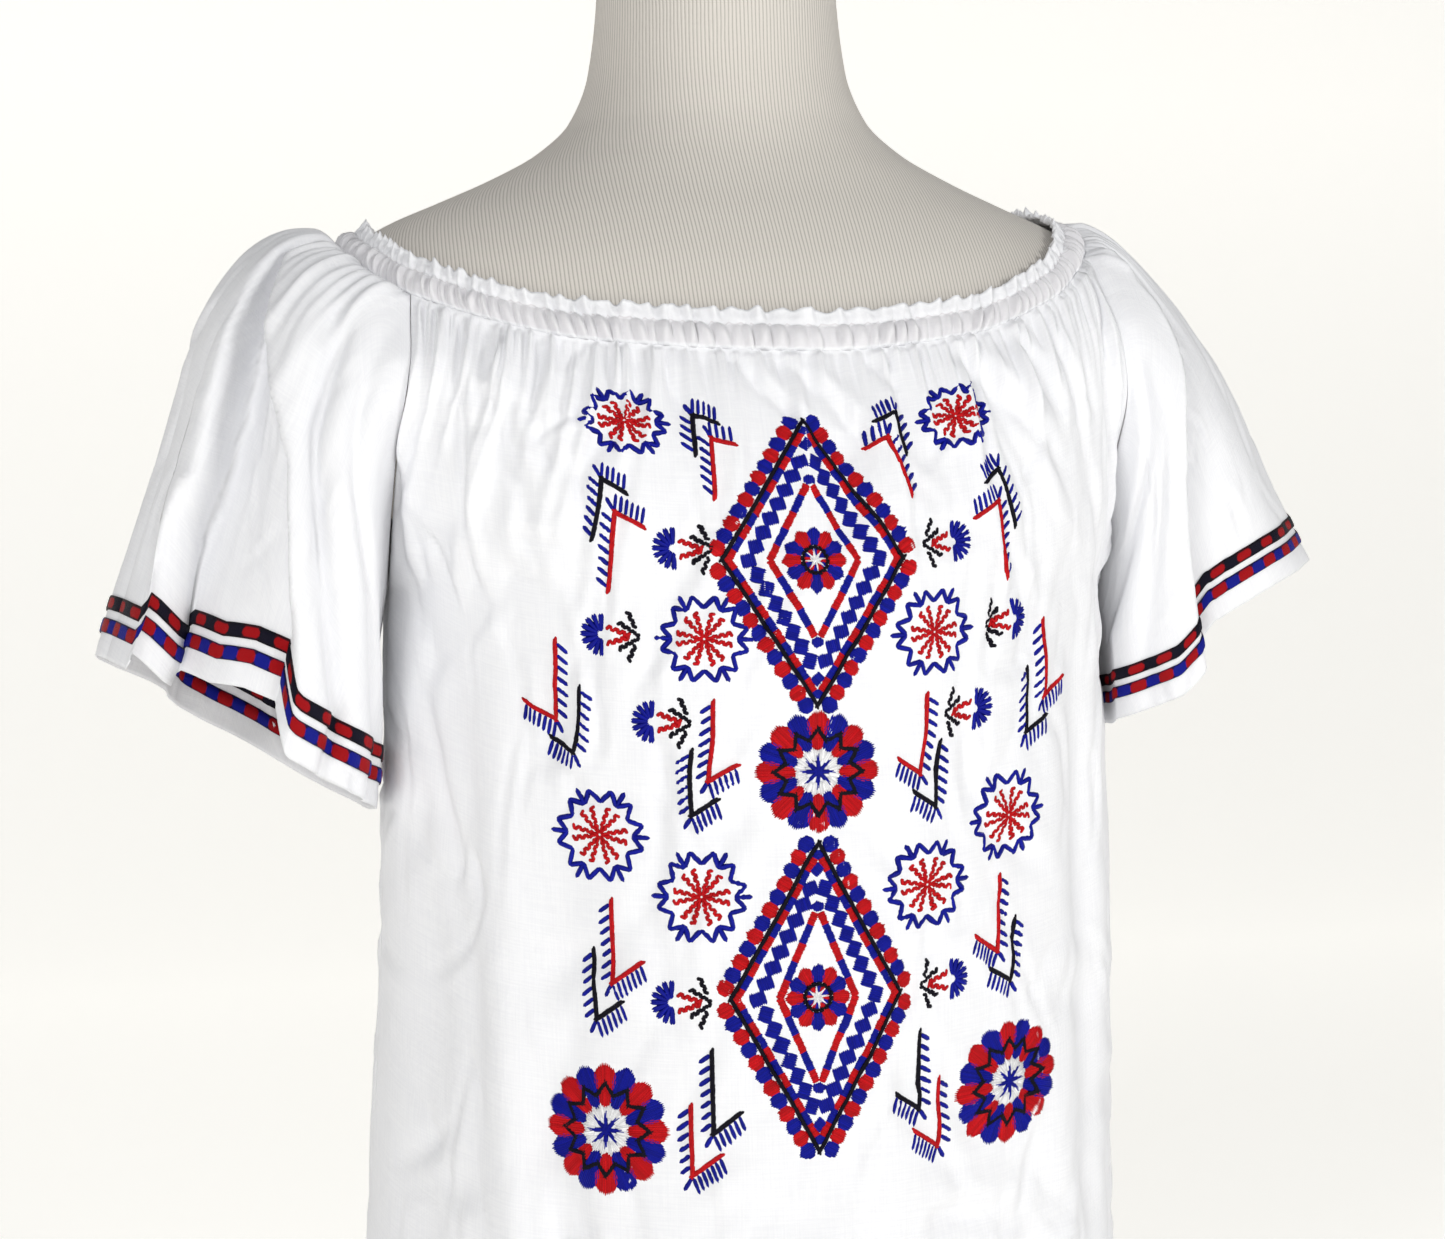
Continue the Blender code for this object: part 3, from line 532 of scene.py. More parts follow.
def cottonMaterial(name, look, creped=0.0, channel=None):
    constants = {"Sheen_Weight": 0.08, "Sheen_Roughness": 0.5, "Specular_IOR_Level": 0.25}
    made, tree, shader = newMaterial(name, look["white"], look["roughness"], **constants)
    u, v = clothUv(tree)
    weave = wave(u, look["threadPitch"]) * wave(v, look["threadPitch"])
    fine, long = look["slubsPerMetre"], look["slubLength"]
    slub = flatNoise(tree, u * fine, v / long, roughness=0.6) + flatNoise(tree, u / long, v * fine, roughness=0.6)
    crumple = node(tree, "ShaderNodeTexNoise", {"noise_dimensions": "3D"}, {
        "Vector": node(tree, "ShaderNodeTexCoord", {}, [], output=3),
        "Scale": 70.0, "Detail": 5.0, "Roughness": 0.62, "Distortion": 0.6})
    tone = (slub - 0.72).smooth(0.0, 0.55)
    colour = mixed(tree, tone * 0.5, look["white"], look["shade"])
    if channel:  # painted shade: the elastic's channel is darkened where its pleats would shade it, and a line at its upper edge, where the frill meets it, more so
        low, high = channel
        inside = v.smooth(low, low + 0.0012) * (1.0 - v.smooth(high - 0.0012, high))
        line = 1.0 - (v - high).maths("ABSOLUTE").smooth(0.0002, 0.0006)
        colour = mixed(tree, (inside * 0.5).maths("MAXIMUM", line * 0.75), colour, look["channel"])
    plug(tree, colour, shader, "Base Color")
    first = bumped(tree, weave, 0.25, 0.00006)
    second = bumped(tree, slub, 0.35, 0.00012, first)
    plug(tree, bumped(tree, crumple, 0.5, 0.0011 + creped, second), shader, "Normal")
    return made


# Dress form: padded, under a ribbed jersey cover

jersey = {
    "colour": (0.70, 0.665, 0.615),
    # rib: the darker colour painted into the grooves between the ribs, painted shade
    "rib": (0.34, 0.312, 0.282),
    "ribPitch": 0.00170,
    "loopPitch": 0.0009,
    "roughness": 0.9,
    "columns": 156,
}


def jerseyMaterial():
    constants = {"Sheen_Weight": 0.1, "Specular_IOR_Level": 0.2}
    made, tree, shader = newMaterial("greyJersey", jersey["colour"], jersey["roughness"], **constants)
    u, v = clothUv(tree)
    place = (u / jersey["ribPitch"] + flatNoise(tree, u * 60, v * 26) * 0.5) % 1.0  # the ribs wander a little
    rib = (place - 0.5).maths("ABSOLUTE") * 2.0
    # painted shade: the grooves between the ribs are coloured darker, towards the rib colour
    grooveShade = 1.0 - rib.smooth(0.0, 0.55)
    fuzz = flatNoise(tree, u * 2600, v * 900, 3.0)
    loops = wave(v, jersey["loopPitch"]) * 0.5 + 0.5
    tone = grooveShade * (0.45 + fuzz * 0.5)
    plug(tree, mixed(tree, tone, jersey["colour"], jersey["rib"]), shader, "Base Color")
    height = rib * 0.7 + loops * 0.12 + fuzz * 0.3
    plug(tree, bumped(tree, height, 0.6, 0.0004), shader, "Normal")
    return made


def shrunk(ring, share):  # the ring drawn in towards its own middle
    middle = ring.mean(axis=0)
    return middle + (ring - middle) * share


def makeDressForm():
    columns = jersey["columns"]
    top, topWidth, rounded = formSections[-1][0], formSections[-1][1], 0.004
    body = [(0.0, 0.53, 0.006), (0.53, 0.66, 0.0025), (0.66, top - rounded, 0.005)]  # from, to and the rings' spacing
    heights = np.concatenate([np.arange(*part) for part in body])
    turn = np.linspace(-math.pi, math.pi, columns + 1)  # the cover's own seam runs up the centre back
    body = formPoint(turn[None, :], heights[:, None])
    rounding = []
    for k in range(1, 7):
        angle = k / 6 * math.pi / 2
        ring = formPoint(turn, np.full(turn.shape, top - rounded))
        ring = shrunk(ring, 1 - rounded * (1 - math.cos(angle)) / topWidth)
        ring[:, 2] = top - rounded + rounded * math.sin(angle)
        rounding.append(ring)
    inner = [shrunk(rounding[-1], share) for share in (0.8, 0.6, 0.4, 0.2, 0.06)]
    foot = [shrunk(body[0], share) for share in (0.06, 0.5, 0.9, 0.985)]
    points = np.concatenate([foot, body, rounding, inner])
    uvs = np.stack(clothLengths(points, columns // 2), axis=-1)
    rows = len(points)
    flat = points.reshape(-1, 3)
    faces = outwardFaces(flat, gridFaces(rows, columns + 1, False), flat - flat.mean(axis=0))
    caps = [list(range(columns))[::-1], [(rows - 1) * (columns + 1) + c for c in range(columns)]]
    obj = makeObject("dressFormCover", flat, list(faces) + caps, uvs.reshape(-1, 2), jerseyMaterial())
    repaired(obj, 0.00002)
    for edge in obj.data.edges:  # the rim of the flat underside
        a, b = (obj.data.vertices[i].co for i in edge.vertices)
        if abs(a.z) < 1e-5 and abs(b.z) < 1e-5:
            edge.use_edge_sharp = True
    standsFor(obj, "dress_form")


# Front and back panels

seamFill = {"rise": 0.017, "reach": 0.024, "way": (0.0, 0.68, -0.73)}


def filledSeam(side, down, distance):  # how far the cloth moves out beside a sleeve's seam
    rise = seamFill["rise"] * ramp(down, -0.02, 0.20) * (1 - ramp(down, 0.30, 0.80))
    rise = rise * np.exp(-distance / seamFill["reach"])
    return rise[..., None] * np.array(seamFill["way"]) * (1, -1 if side == "front" else 0.6, 1)


panelGrid = {
    "front": {"columns": 256, "rowsAbove": 74, "rowsBelow": 114},
    "back": {"columns": 180, "rowsAbove": 54, "rowsBelow": 66},
}
panelGathers = {  # seed, then what gatherHeight is given
    "front": {"seed": 11, "depth": 0.0060, "longest": 0.046},
    "back": {"seed": 12, "depth": 0.0052, "longest": 0.048},
    "both": {"count": 74, "span": 0.295, "shortest": 0.012, "spread": 0.12},
}
frontCreases = [  # path across and down in metres, width, depth
    ([(-0.1455, 0), (-0.1495, 0.039), (-0.1509, 0.079), (-0.1508, 0.104), (-0.1466, 0.117)], 0.003, 0.0035),
    ([(-0.1258, 0.002), (-0.131, 0.013), (-0.1366, 0.024)], 0.0018, 0.0032),
    ([(-0.1084, 0.001), (-0.112, 0.018), (-0.1174, 0.037)], 0.002, 0.0032),
    ([(-0.0937, 0.001), (-0.0969, 0.012)], 0.0015, 0.0023),
    ([(-0.1325, 0.028), (-0.13, 0.045), (-0.1262, 0.066)], 0.005, 0.0032),
    ([(-0.1167, 0.036), (-0.113, 0.048), (-0.1098, 0.06)], 0.0045, 0.0026),
    ([(-0.083, 0.002), (-0.085, 0.02)], 0.0022, 0.0023),
    ([(-0.062, 0.003), (-0.056, 0.024), (-0.053, 0.036)], 0.004, 0.0023),
    ([(-0.033, 0.002), (-0.024, 0.016), (-0.012, 0.03), (0.006, 0.044)], 0.003, 0.0023),
    ([(-0.015, 0.003), (0.005, 0.022), (0.018, 0.04), (0.026, 0.062)], 0.0035, 0.0026),
    ([(0.024, 0.002), (0.033, 0.02)], 0.0022, 0.0022),
    ([(0.0598, 0.002), (0.079, 0.022), (0.1, 0.046), (0.1147, 0.07)], 0.0045, 0.0038),
    ([(0.0925, 0.002), (0.108, 0.024), (0.1187, 0.046)], 0.0032, 0.0035),
    ([(0.1161, 0.004), (0.126, 0.026), (0.1337, 0.048)], 0.0028, 0.0032),
    ([(0.07, 0.01), (0.086, 0.04), (0.096, 0.07), (0.101, 0.105)], 0.006, 0.0029),
    ([(0.1634, 0.006), (0.1599, 0.026), (0.1605, 0.044), (0.1635, 0.073), (0.1614, 0.094)], 0.004, 0.0049),
    ([(-0.189, 0.168), (-0.1724, 0.214), (-0.1646, 0.262)], 0.006, 0.0035),
    ([(-0.16, 0.12), (-0.159, 0.2), (-0.156, 0.3), (-0.15, 0.42)], 0.009, 0.0043),
    ([(-0.125, 0.3), (-0.115, 0.36), (-0.11, 0.45)], 0.01, 0.0038),
    ([(0.125, 0.11), (0.129, 0.2), (0.127, 0.3), (0.122, 0.42)], 0.01, 0.0046),
    ([(0.09, 0.33), (0.084, 0.4), (0.086, 0.49)], 0.009, 0.0038),
    ([(0.005, 0.33), (0.01, 0.4), (0.004, 0.49)], 0.011, 0.0035),
]
backCreases = [
    ([(-0.13, 0.004), (-0.134, 0.04), (-0.132, 0.09)], 0.004, 0.0038),
    ([(-0.09, 0.003), (-0.096, 0.03), (-0.094, 0.07)], 0.0032, 0.0035),
    ([(-0.04, 0.003), (-0.043, 0.05), (-0.036, 0.11)], 0.004, 0.0032),
    ([(0.015, 0.003), (0.01, 0.04)], 0.0028, 0.0032),
    ([(0.06, 0.003), (0.066, 0.05), (0.07, 0.1)], 0.0038, 0.0035),
    ([(0.105, 0.003), (0.11, 0.04)], 0.0026, 0.0032),
    ([(0.14, 0.004), (0.142, 0.06), (0.138, 0.12)], 0.0042, 0.0041),
    ([(-0.145, 0.16), (-0.142, 0.28), (-0.136, 0.43)], 0.009, 0.0043),
    ([(-0.07, 0.18), (-0.064, 0.3), (-0.066, 0.46)], 0.011, 0.0043),
    ([(0.02, 0.14), (0.026, 0.28), (0.018, 0.45)], 0.01, 0.0041),
    ([(0.1, 0.17), (0.106, 0.3), (0.102, 0.46)], 0.01, 0.0046),
]


panelScatter = [  # step of the seed, count, across, down, lengths, widths, depths, lean and its spread in degrees
    (0, 260, (-0.22, 0.22), (0.03, 0.53), (0.02, 0.08), (0.0015, 0.0042), (0.0004, 0.0015), 4, 34),
    (50, 46, (-0.19, 0.19), (0.02, 0.16), (0.03, 0.09), (0.002, 0.004), (0.0006, 0.0018), 0, 14),
    (90, 150, (-0.2, 0.2), (0.03, 0.52), (0.012, 0.05), (0.0035, 0.008), (0.0009, 0.0022), 0, 60),
]
hemTurn = 0.0155  # how far the stitch line is above the panels' lower edge


def addUnevenness(height, s, t, seed, slow, slowStart):  # slow waves under the creases, and fine ones over all
    height += softNoise(s, t * 0.6, seed + 4, 14, *slow[:2]) * slow[2] * ramp(t, 0.01, slowStart)
    height += softNoise(s, t * 0.7, seed + 5, 20, 0.012, 0.03) * 0.00012


def panelSheet(side):
    values = panelGrid[side]
    across = np.linspace(-1, 1, values["columns"] + 1)
    above, below = (np.linspace(0, 1, values[rows]) for rows in ("rowsAbove", "rowsBelow"))
    downs = np.concatenate([above**1.25, 1 + below[1:]])
    a, d = np.meshgrid(across, downs)
    points = smoothPanelPoint(side, a, d)
    normals = gridNormals(points, False)
    s, t = clothLengths(points, len(across) // 2)
    height = gatherHeight((a + 1) / 2, t, **panelGathers[side], **panelGathers["both"])
    for top, hem, width, depth, start, full in bodyFolds[side]:
        place = top + (hem - top) * d / 2
        height += depth * np.exp(-(((a - place) / width) ** 2)) * ramp(d, start, full) * (1 - np.abs(a) ** 8)
    addCreases(height, s, t, frontCreases if side == "front" else backCreases)
    seed = 21 if side == "front" else 22
    for step, *values in panelScatter:
        addCreases(height, s, t, scatteredCreases(seed + step, *values))
    addUnevenness(height, s, t, seed, (0.05, 0.13, 0.0007), 0.08)
    height *= ramp(1 - np.abs(a), 0.0, 0.022)
    height -= 0.0003 * np.exp(-(((1 - np.abs(a)) * 0.16 / 0.0020) ** 2))  # the seam pulls the cloth in
    hemLine = t.max(axis=0)[None, :] - t
    height -= 0.00035 * np.exp(-(((hemLine - hemTurn) / 0.0012) ** 2))  # the hem's stitch line
    height += 0.00025 * (1 - ramp(hemLine, hemTurn - 0.0005, hemTurn + 0.0010))  # and the folded hem's own thickness
    points = points + normals * height[..., None] + filledSeam(side, d, (1 - np.abs(a)) * 0.16)
    points = clearOfForm(points, cloth["restGap"] + cloth["thickness"] + 0.0003)
    return {"points": points, "normals": gridNormals(points, False), "s": s, "t": t}


def makePanel(side, sheet, material):
    uvs = np.stack([sheet["s"], sheet["t"]], axis=-1)
    points, normals, uvs = tucked(sheet["points"], sheet["normals"], uvs, ("top", "left", "right"))
    obj = clothSheet(f"{side}PanelCloth", points, normals, uvs, False, material)
    return standsFor(obj, f"{side}_panel")


# Embroidery: raised threads on the front panel's own points. Places are in millimetres, across from the middle
# of the pattern and down from the neckline seam. Every motif is drawn by rule and mirrored.

embroidery = {
    "thread": 0.80,  # millimetres between the satin's stitches
    "overlap": 1.35,  # how much wider than that each of them is
    "plump": 0.00150,  # the modelled width in metres for each millimetre stated
    "sink": 0.00008,
    "crown": 0.00050,
    "twist": 0.0011,
    "colours": {
        "blue": (0.004, 0.008, 0.290), "red": (0.550, 0.005, 0.009),
        "black": (0.004, 0.003, 0.009), "white": (0.90, 0.90, 0.92),
    },
    "slots": {
        "blue": "blue_red_thread", "red": "blue_red_thread", "black": "black_red_thread", "white": "white_cotton",
    },
}
middleOfCentre = curveThrough((0, 90, 175, 263, 340), (-8.0, -8.0, -9.3, -11.6, -12.0))
middleOfSides = curveThrough(
    (0, 36, 75, 125, 160, 178, 205, 265, 340), (-11, -10, -5, -5.4, -6.5, -9, -9.6, -11, -11.2),
)
diamonds = [{"centre": 91.5, "wide": 37.4, "high": 57.5}, {"centre": 263.5, "wide": 34.6, "high": 60.6}]
rosettes = [(0, 175.0, 25.6, 24.4), (86.0, 312.8, 26.0, 25.4)]  # across, down, half width, half height
starFlowers = [
    (69.8, 36.2, 18.0, 14.8), (47.9, 122.6, 19.2, 18.6), (87.7, 201.4, 19.8, 19.2), (46.6, 223.2, 19.2, 19.0),
]
sprigs = [(54.9, 87.2), (84.6, 122.6), (64.3, 155.7), (54.0, 263.6)]
combHooks = [  # colour, corner, end of the long arm, end of the short arm
    ("black", (41.8, 32.0), (44.0, 49.0), (32.6, 35.4)), ("red", (36.4, 42.2), (41.0, 66.8), (27.8, 44.8)),
    ("black", (84.5, 60.7), (91.0, 85.0), (76.0, 65.8)), ("red", (81.5, 73.7), (85.6, 105.1), (70.3, 79.2)),
    ("red", (108.9, 157.8), (108.3, 126.4), (122.4, 152.6)), ("black", (98.9, 170.0), (98.1, 144.2), (110.7, 165.2)),
    ("red", (43.9, 178.3), (44.6, 147.3), (33.2, 171.9)), ("black", (50.5, 192.0), (52.0, 166.7), (40.5, 185.4)),
    ("red", (81.8, 257.0), (82.9, 226.0), (70.0, 248.7)), ("black", (88.9, 271.2), (91.0, 245.4), (78.1, 263.9)),
    ("black", (42.9, 313.7), (43.0, 282.2), (32.4, 306.0)), ("red", (51.4, 330.2), (51.7, 303.1), (40.1, 322.0)),
]
diamondParts = {  # millimetres out of the black line, or in from the diamond's tip and side corner
    "petals": {"count": 12, "out": 3.9, "length": 7.2, "width": 1.06},
    "bars": {"in": 2.1, "width": 3.0, "first": 0.45},
    "squares": {"count": 8, "in": (12.0, 10.6), "size": 1.25, "atTip": (10.5, 6.4)},
    "dashes": {"count": 5, "in": (25.0, 19.2), "width": 3.4, "first": 0.35},
}
starParts = {
    "ring": (0.68, 0.93, 0.66, 0.93), "ticks": (0.66, 1.04), "rays": (0.14, 0.60), "thread": 1.6, "pairing": 0.10,
}
sprigParts = {
    "fan": {"count": 9, "centre": -4.2, "inner": 1.4, "outer": 8.6, "halfTip": 0.5},
    "twigs": [  # colour, start, end, pitch, taper
        ("red", (-2.0, 3.4), (7.4, 0.3), 1.4, 0.0),
        ("black", (11.3, 0.3), (2.8, 5.4), 1.5, 0.5),
        ("black", (9.6, 3.2), (6.6, 9.9), 1.5, 0.3),
    ],
}
combArms = [  # the long arm and the short one
    {"pitch": 4.2, "lean": 0.66, "length": 6.3, "width": 1.4, "fanned": True},
    {"pitch": 2.35, "lean": 0.25, "length": 7.4, "width": 1.15, "fanned": False},
]
satinWidth = embroidery["thread"] * embroidery["overlap"]
stitches = {colour: [] for colour in embroidery["colours"]}
handJitter = np.random.default_rng(61)


def sew(colour, starts, ends, width, crown=1.0):
    starts, ends = np.atleast_2d(starts).astype(float), np.atleast_2d(ends).astype(float)
    count = len(starts)
    widths, crowns = np.broadcast_to(width, count), np.broadcast_to(crown, count)
    stitches[colour].append(np.column_stack([starts, ends, widths, crowns]))


def satinOval(colour, middle, angle, length, width, crown=1.0):  # stitches run lengthwise
    count = max(3, round(width / embroidery["thread"]))
    offsets = ((np.arange(count) + 0.5) / count - 0.5) * width
    halves = length / 2 * np.sqrt(1 - (2 * offsets / width) ** 2 * 0.94)
    along, across = np.array((math.cos(angle), math.sin(angle))), np.array((-math.sin(angle), math.cos(angle)))
    base = np.array(middle) + offsets[:, None] * across
    near, far = halves + handJitter.normal(0, 0.22, count), halves + handJitter.normal(0, 0.22, count)
    dome = 0.55 + 0.6 * np.sqrt(1 - (2 * offsets / width) ** 2 * 0.9)
    sew(colour, base - along * near[:, None], base + along * far[:, None], satinWidth, crown * dome)


def lineBetween(start, end):  # both ends, the length, and the ways along and across
    start, end = np.array(start, float), np.array(end, float)
    size = math.dist(start, end)
    along = (end - start) / size
    return start, end, size, along, np.array((-along[1], along[0]))


def satinBar(colour, start, end, width, crown=1.0):  # stitches run across
    start, end, size, _, across = lineBetween(start, end)
    count = max(2, round(size / embroidery["thread"]))
    base = start + (end - start) * ((np.arange(count) + 0.5) / count)[:, None]
    near, far = (width / 2 + handJitter.normal(0, 0.12, count) for _ in range(2))
    sew(colour, base - across * near[:, None], base + across * far[:, None], satinWidth, crown)


def stemLine(colour, path, width, crown=1.2):
    for start, end in zip(path, path[1:]):
        start, end, size, along, across = lineBetween(start, end)
        count = max(1, round(size / 1.5))
        for side in (-1, 1):
            places = (np.arange(count) + 0.5 + 0.25 * side) / count * size
            offsets = side * width * 0.20 + handJitter.normal(0, 0.05, count)
            base = start + along * places[:, None] + across * offsets[:, None]
            reach = min(1.9, size / 2)
            lean = across * width * 0.12
            sew(colour, base - along * reach - lean, base + along * reach + lean, width * 0.68, crown)


def zigzag(colour, start, end, swing, pitch, width, taper=0.0, crown=1.0):
    start, end, size, along, across = lineBetween(start, end)
    count = max(2, round(size / pitch))
    share = (np.arange(count + 1) + 0.3 * (np.arange(count + 1) % 2)) / (count + 0.3)
    swings = swing * (1 - taper * (1 - share)) * (-1.0) ** np.arange(count + 1)
    points = start + along * (share * size)[:, None] + across * swings[:, None]
    sew(colour, points[:-1], points[1:], width, crown)


def turned(middle, angle, radius, squash=1.0):
    return np.array(middle) + np.array((math.cos(angle) * radius, -math.sin(angle) * radius * squash))


def petalRing(colours, middle, count, inner, outer, width, squash, first=0.0, crown=1.0):
    for k in range(count):
        angle = first + k * 2 * math.pi / count
        near, far = turned(middle, angle, inner, squash), turned(middle, angle, outer, squash)
        way = far - near
        tilt, length = math.atan2(way[1], way[0]), math.hypot(*way)
        satinOval(colours[k % len(colours)], (near + far) / 2, tilt, length, width, crown)


def drawRosette(across, down, wide, high):
    middle, squash, quarter = (across, down), high / wide, math.pi / 2
    petalRing(("red", "blue"), middle, 16, wide * 0.50, wide, wide * 0.355, squash, quarter)
    petalRing(("red", "blue"), middle, 16, wide * 0.33, wide * 0.66, wide * 0.20, squash, quarter, 1.1)
    radii = [wide * (0.52 if k % 2 else 0.70) for k in range(25)]
    stemLine("black", [turned(middle, quarter + k * math.pi / 12, radii[k], squash) for k in range(25)], 1.6, 1.75)
    for k in range(16):
        angle = quarter + (k + 0.5) * math.pi / 8
        satinOval("white", turned(middle, angle, wide * 0.27, squash), -angle, wide * 0.22, wide * 0.12, 1.35)
    for k in range(8):
        angle = quarter + k * math.pi / 4
        stemLine("blue", [turned(middle, angle, 0.3, squash), turned(middle, angle, wide * 0.25, squash)], 1.3, 1.7)


def drawSmallFlower(across, down):
    middle, quarter = (across, down), math.pi / 2
    petalRing(("blue", "red"), middle, 12, 5.0, 13.4, 5.4, 1.0, quarter)
    petalRing(("blue", "red"), middle, 12, 1.8, 5.2, 1.9, 1.0, quarter)
    stemLine("black", [turned(middle, k * math.pi / 8, 5.3) for k in range(17)], 1.8, 1.7)
    for k in range(8):
        angle = quarter / 2 + k * math.pi / 4 + 0.2
        stemLine("white", [turned(middle, angle, 0.2), turned(middle, angle, 3.6)], 0.9, 1.5)


def drawDiamond(centre, wide, high):
    middle = np.array((0.0, centre))
    petals, bars, squares, dashes = diamondParts.values()

    def drawnIn(part):  # tip, side corner and the way between them
        tip = middle + (0, (high - part["in"][0]) * upright)
        corner = middle + ((wide - part["in"][1]) * sideways, 0)
        return tip, corner, corner - tip

    for sideways in (-1, 1):
        for upright in (-1, 1):
            tip, corner = middle + (0, high * upright), middle + (wide * sideways, 0)
            size = math.dist(tip, corner)
            outward = np.array((high * sideways, wide * upright)) / math.hypot(high, wide)
            tilt, count, way = math.atan2(outward[1], outward[0]), petals["count"], corner - tip
            for k in range(count):  # petals outside the black line, and a bar of the same colour inside it
                colour = ("blue", "red")[k % 2]
                place = tip + way * (k + 0.5) / count + outward * petals["out"]
                satinOval(colour, place, tilt, petals["length"], size / count * petals["width"])
                near, far = tip + way * max(k, bars["first"]) / count, tip + way * (k + 1) / count
                satinBar(colour, near - outward * bars["in"], far - outward * bars["in"], bars["width"])
            stemLine("black", [tip, corner], 1.35, 1.9)
            tip, corner, way = drawnIn(squares)
            count = squares["count"]
            tilt, diagonal = math.atan2(way[1], way[0]), math.dist(tip, corner) / count * squares["size"]
            for k in range(1, count + (upright == -1)):  # the square at the side corner is sewn once
                satinSquare("blue", tip + way * k / count, tilt, diagonal)
            tip, corner, way = drawnIn(dashes)
            count = dashes["count"]
            for k in range(count):
                near, far = tip + way * (k or dashes["first"]) / count, tip + way * (k + 1) / count
                satinBar(("red", "blue")[k % 2], near, far, dashes["width"])
    for upright in (-1, 1):
        satinSquare("blue", middle + (0, (high - squares["atTip"][0]) * upright), math.pi / 2, squares["atTip"][1])
        satinOval("blue", middle + (0, (high - dashes["in"][0]) * upright), math.pi / 2, 4.4, 4.6)
    drawSmallFlower(0.0, centre)


def satinSquare(colour, middle, tilt, diagonal):
    side = diagonal / math.sqrt(2)
    along = np.array((math.cos(tilt + math.pi / 4), math.sin(tilt + math.pi / 4)))
    satinBar(colour, np.array(middle) - along * side / 2, np.array(middle) + along * side / 2, side)


def drawStarFlower(across, down, wide, high):
    middle, squash = (across, down), high / wide
    thread, radii = starParts["thread"], [wide * starParts["ring"][k % 4] for k in range(25)]
    ring = [turned(middle, k * math.pi / 12, radii[k], squash) for k in range(25)]
    for start, end in zip(ring, ring[1:]):
        reach = (end - start) * 0.06
        sew("blue", [start - reach], [end + reach], thread, 1.3)
    for k in range(6):
        angle = k * math.pi / 3
        sew("blue", *([turned(middle, angle, wide * share, squash)] for share in starParts["ticks"]), thread, 1.4)
    for k in range(12):
        angle = (k + 0.5 + (starParts["pairing"] if k % 2 else -starParts["pairing"])) * math.pi / 6
        sew("red", [turned(middle, angle, 0.4, squash)], [turned(middle, angle, wide * 0.24, squash)], 0.9)
        ends = (turned(middle, angle, wide * share, squash) for share in starParts["rays"])
        zigzag("red", *ends, 1.35, 1.4, 1.2, 0.45, 1.1)


def drawSprig(across, down, outward):
    def at(x, y):  # x runs towards the middle of the blouse
        return np.array((across - x * outward, down + y))

    count, centre, inner, outer, halfTip = sprigParts["fan"].values()
    for k in range(count):
        angle = math.radians(90 + 180 / (count - 1) * k)
        x, y = math.cos(angle), math.sin(angle)
        for lean in (-halfTip, halfTip):
            end = at(centre + x * outer - y * lean, y * outer + x * lean)
            sew("blue", [at(centre + x * inner, y * inner)], [end], 1.25, 1.2)
    for up in (-1, 1):
        for colour, start, end, pitch, taper in sprigParts["twigs"]:
            zigzag(colour, *(at(x, y * up) for x, y in (start, end)), 1.2, pitch, 1.25, taper, 1.1)


def drawCombHook(colour, corner, longEnd, shortEnd):
    corner, ends = np.array(corner, float), [np.array(longEnd, float), np.array(shortEnd, float)]
    ways = [(end - corner) / math.dist(end, corner) for end in ends]
    for end, way, other, arm in zip(ends, ways, ways[::-1], combArms):
        outside = np.array((-way[1], way[0]))
        outside = outside if outside @ other < 0 else -outside
        direction = (outside - way * arm["lean"]) / math.hypot(1, arm["lean"])
        size = math.dist(end, corner) - 1.0
        count = max(3, round(size / arm["pitch"]))
        for k in range(count + 1):
            base = corner + way * size * k / count
            aim = direction * 0.6 - way * 0.45 if k == 0 and arm["fanned"] else direction
            aim = aim / math.hypot(*aim)
            length = arm["length"] + handJitter.normal(0, 0.3)
            sew("blue", [base + aim * 0.5], [base + aim * length], arm["width"], 1.1)
    for line in ([ends[0], corner], [corner, ends[1]]):
        stemLine(colour, line, 1.5, 1.6)


def layPattern():
    for values in diamonds:
        drawDiamond(**values)
    drawRosette(*rosettes[0])
    for rows in stitches.values():  # the middle column hangs along its own line
        for row in rows:
            row[:, 0] += middleOfCentre(row[:, 1])
            row[:, 2] += middleOfCentre(row[:, 3])
    done = {colour: len(rows) for colour, rows in stitches.items()}
    for side in (-1, 1):
        for draw, places in ((drawRosette, rosettes[1:]), (drawStarFlower, starFlowers)):
            for across, *values in places:
                draw(across * side, *values)
        for across, down in sprigs:
            drawSprig(across * side, down, side)
        for colour, corner, longEnd, shortEnd in combHooks:
            drawCombHook(colour, *((p[0] * side, p[1]) for p in (corner, longEnd, shortEnd)))
    for colour, rows in stitches.items():
        for row in rows[done[colour]:]:
            for k in (0, 2):
                drop = -4.5 * row[:, k] / 86 * np.clip((row[:, k + 1] - 200) / 115, 0, 1)
                row[:, k] += middleOfSides(row[:, k + 1])
                row[:, k + 1] += drop


def clothTable(sheet, across=(-0.165, 0.150), down=(0.0, 0.37), step=0.001):
    grid = np.arange(across[0], across[1] + step, step)
    fields = np.concatenate([sheet["points"], sheet["normals"], sheet["t"][..., None]], axis=-1)
    onGrid = np.array([[np.interp(grid, s, fields[r, :, k]) for k in range(7)] for r, s in enumerate(sheet["s"])])
    depths = np.arange(down[0], down[1] + step, step)
    table = np.empty((len(depths), len(grid), 6))
    for c in range(len(grid)):
        for k in range(6):
            table[:, c, k] = np.interp(depths, onGrid[:, 6, c], onGrid[:, k, c])

    def lookUp(s, t):
        c, r = (np.clip((at - line[0]) / step, 0, len(line) - 1.001) for at, line in ((s, grid), (t, depths)))
        ci, ri = c.astype(int), r.astype(int)
        cf, rf = (c - ci)[..., None], (r - ri)[..., None]
        upper, lower = (table[row, ci] * (1 - cf) + table[row, ci + 1] * cf for row in (ri, ri + 1))
        value = upper * (1 - rf) + lower * rf
        return value[..., :3], unit(value[..., 3:])

    return lookUp


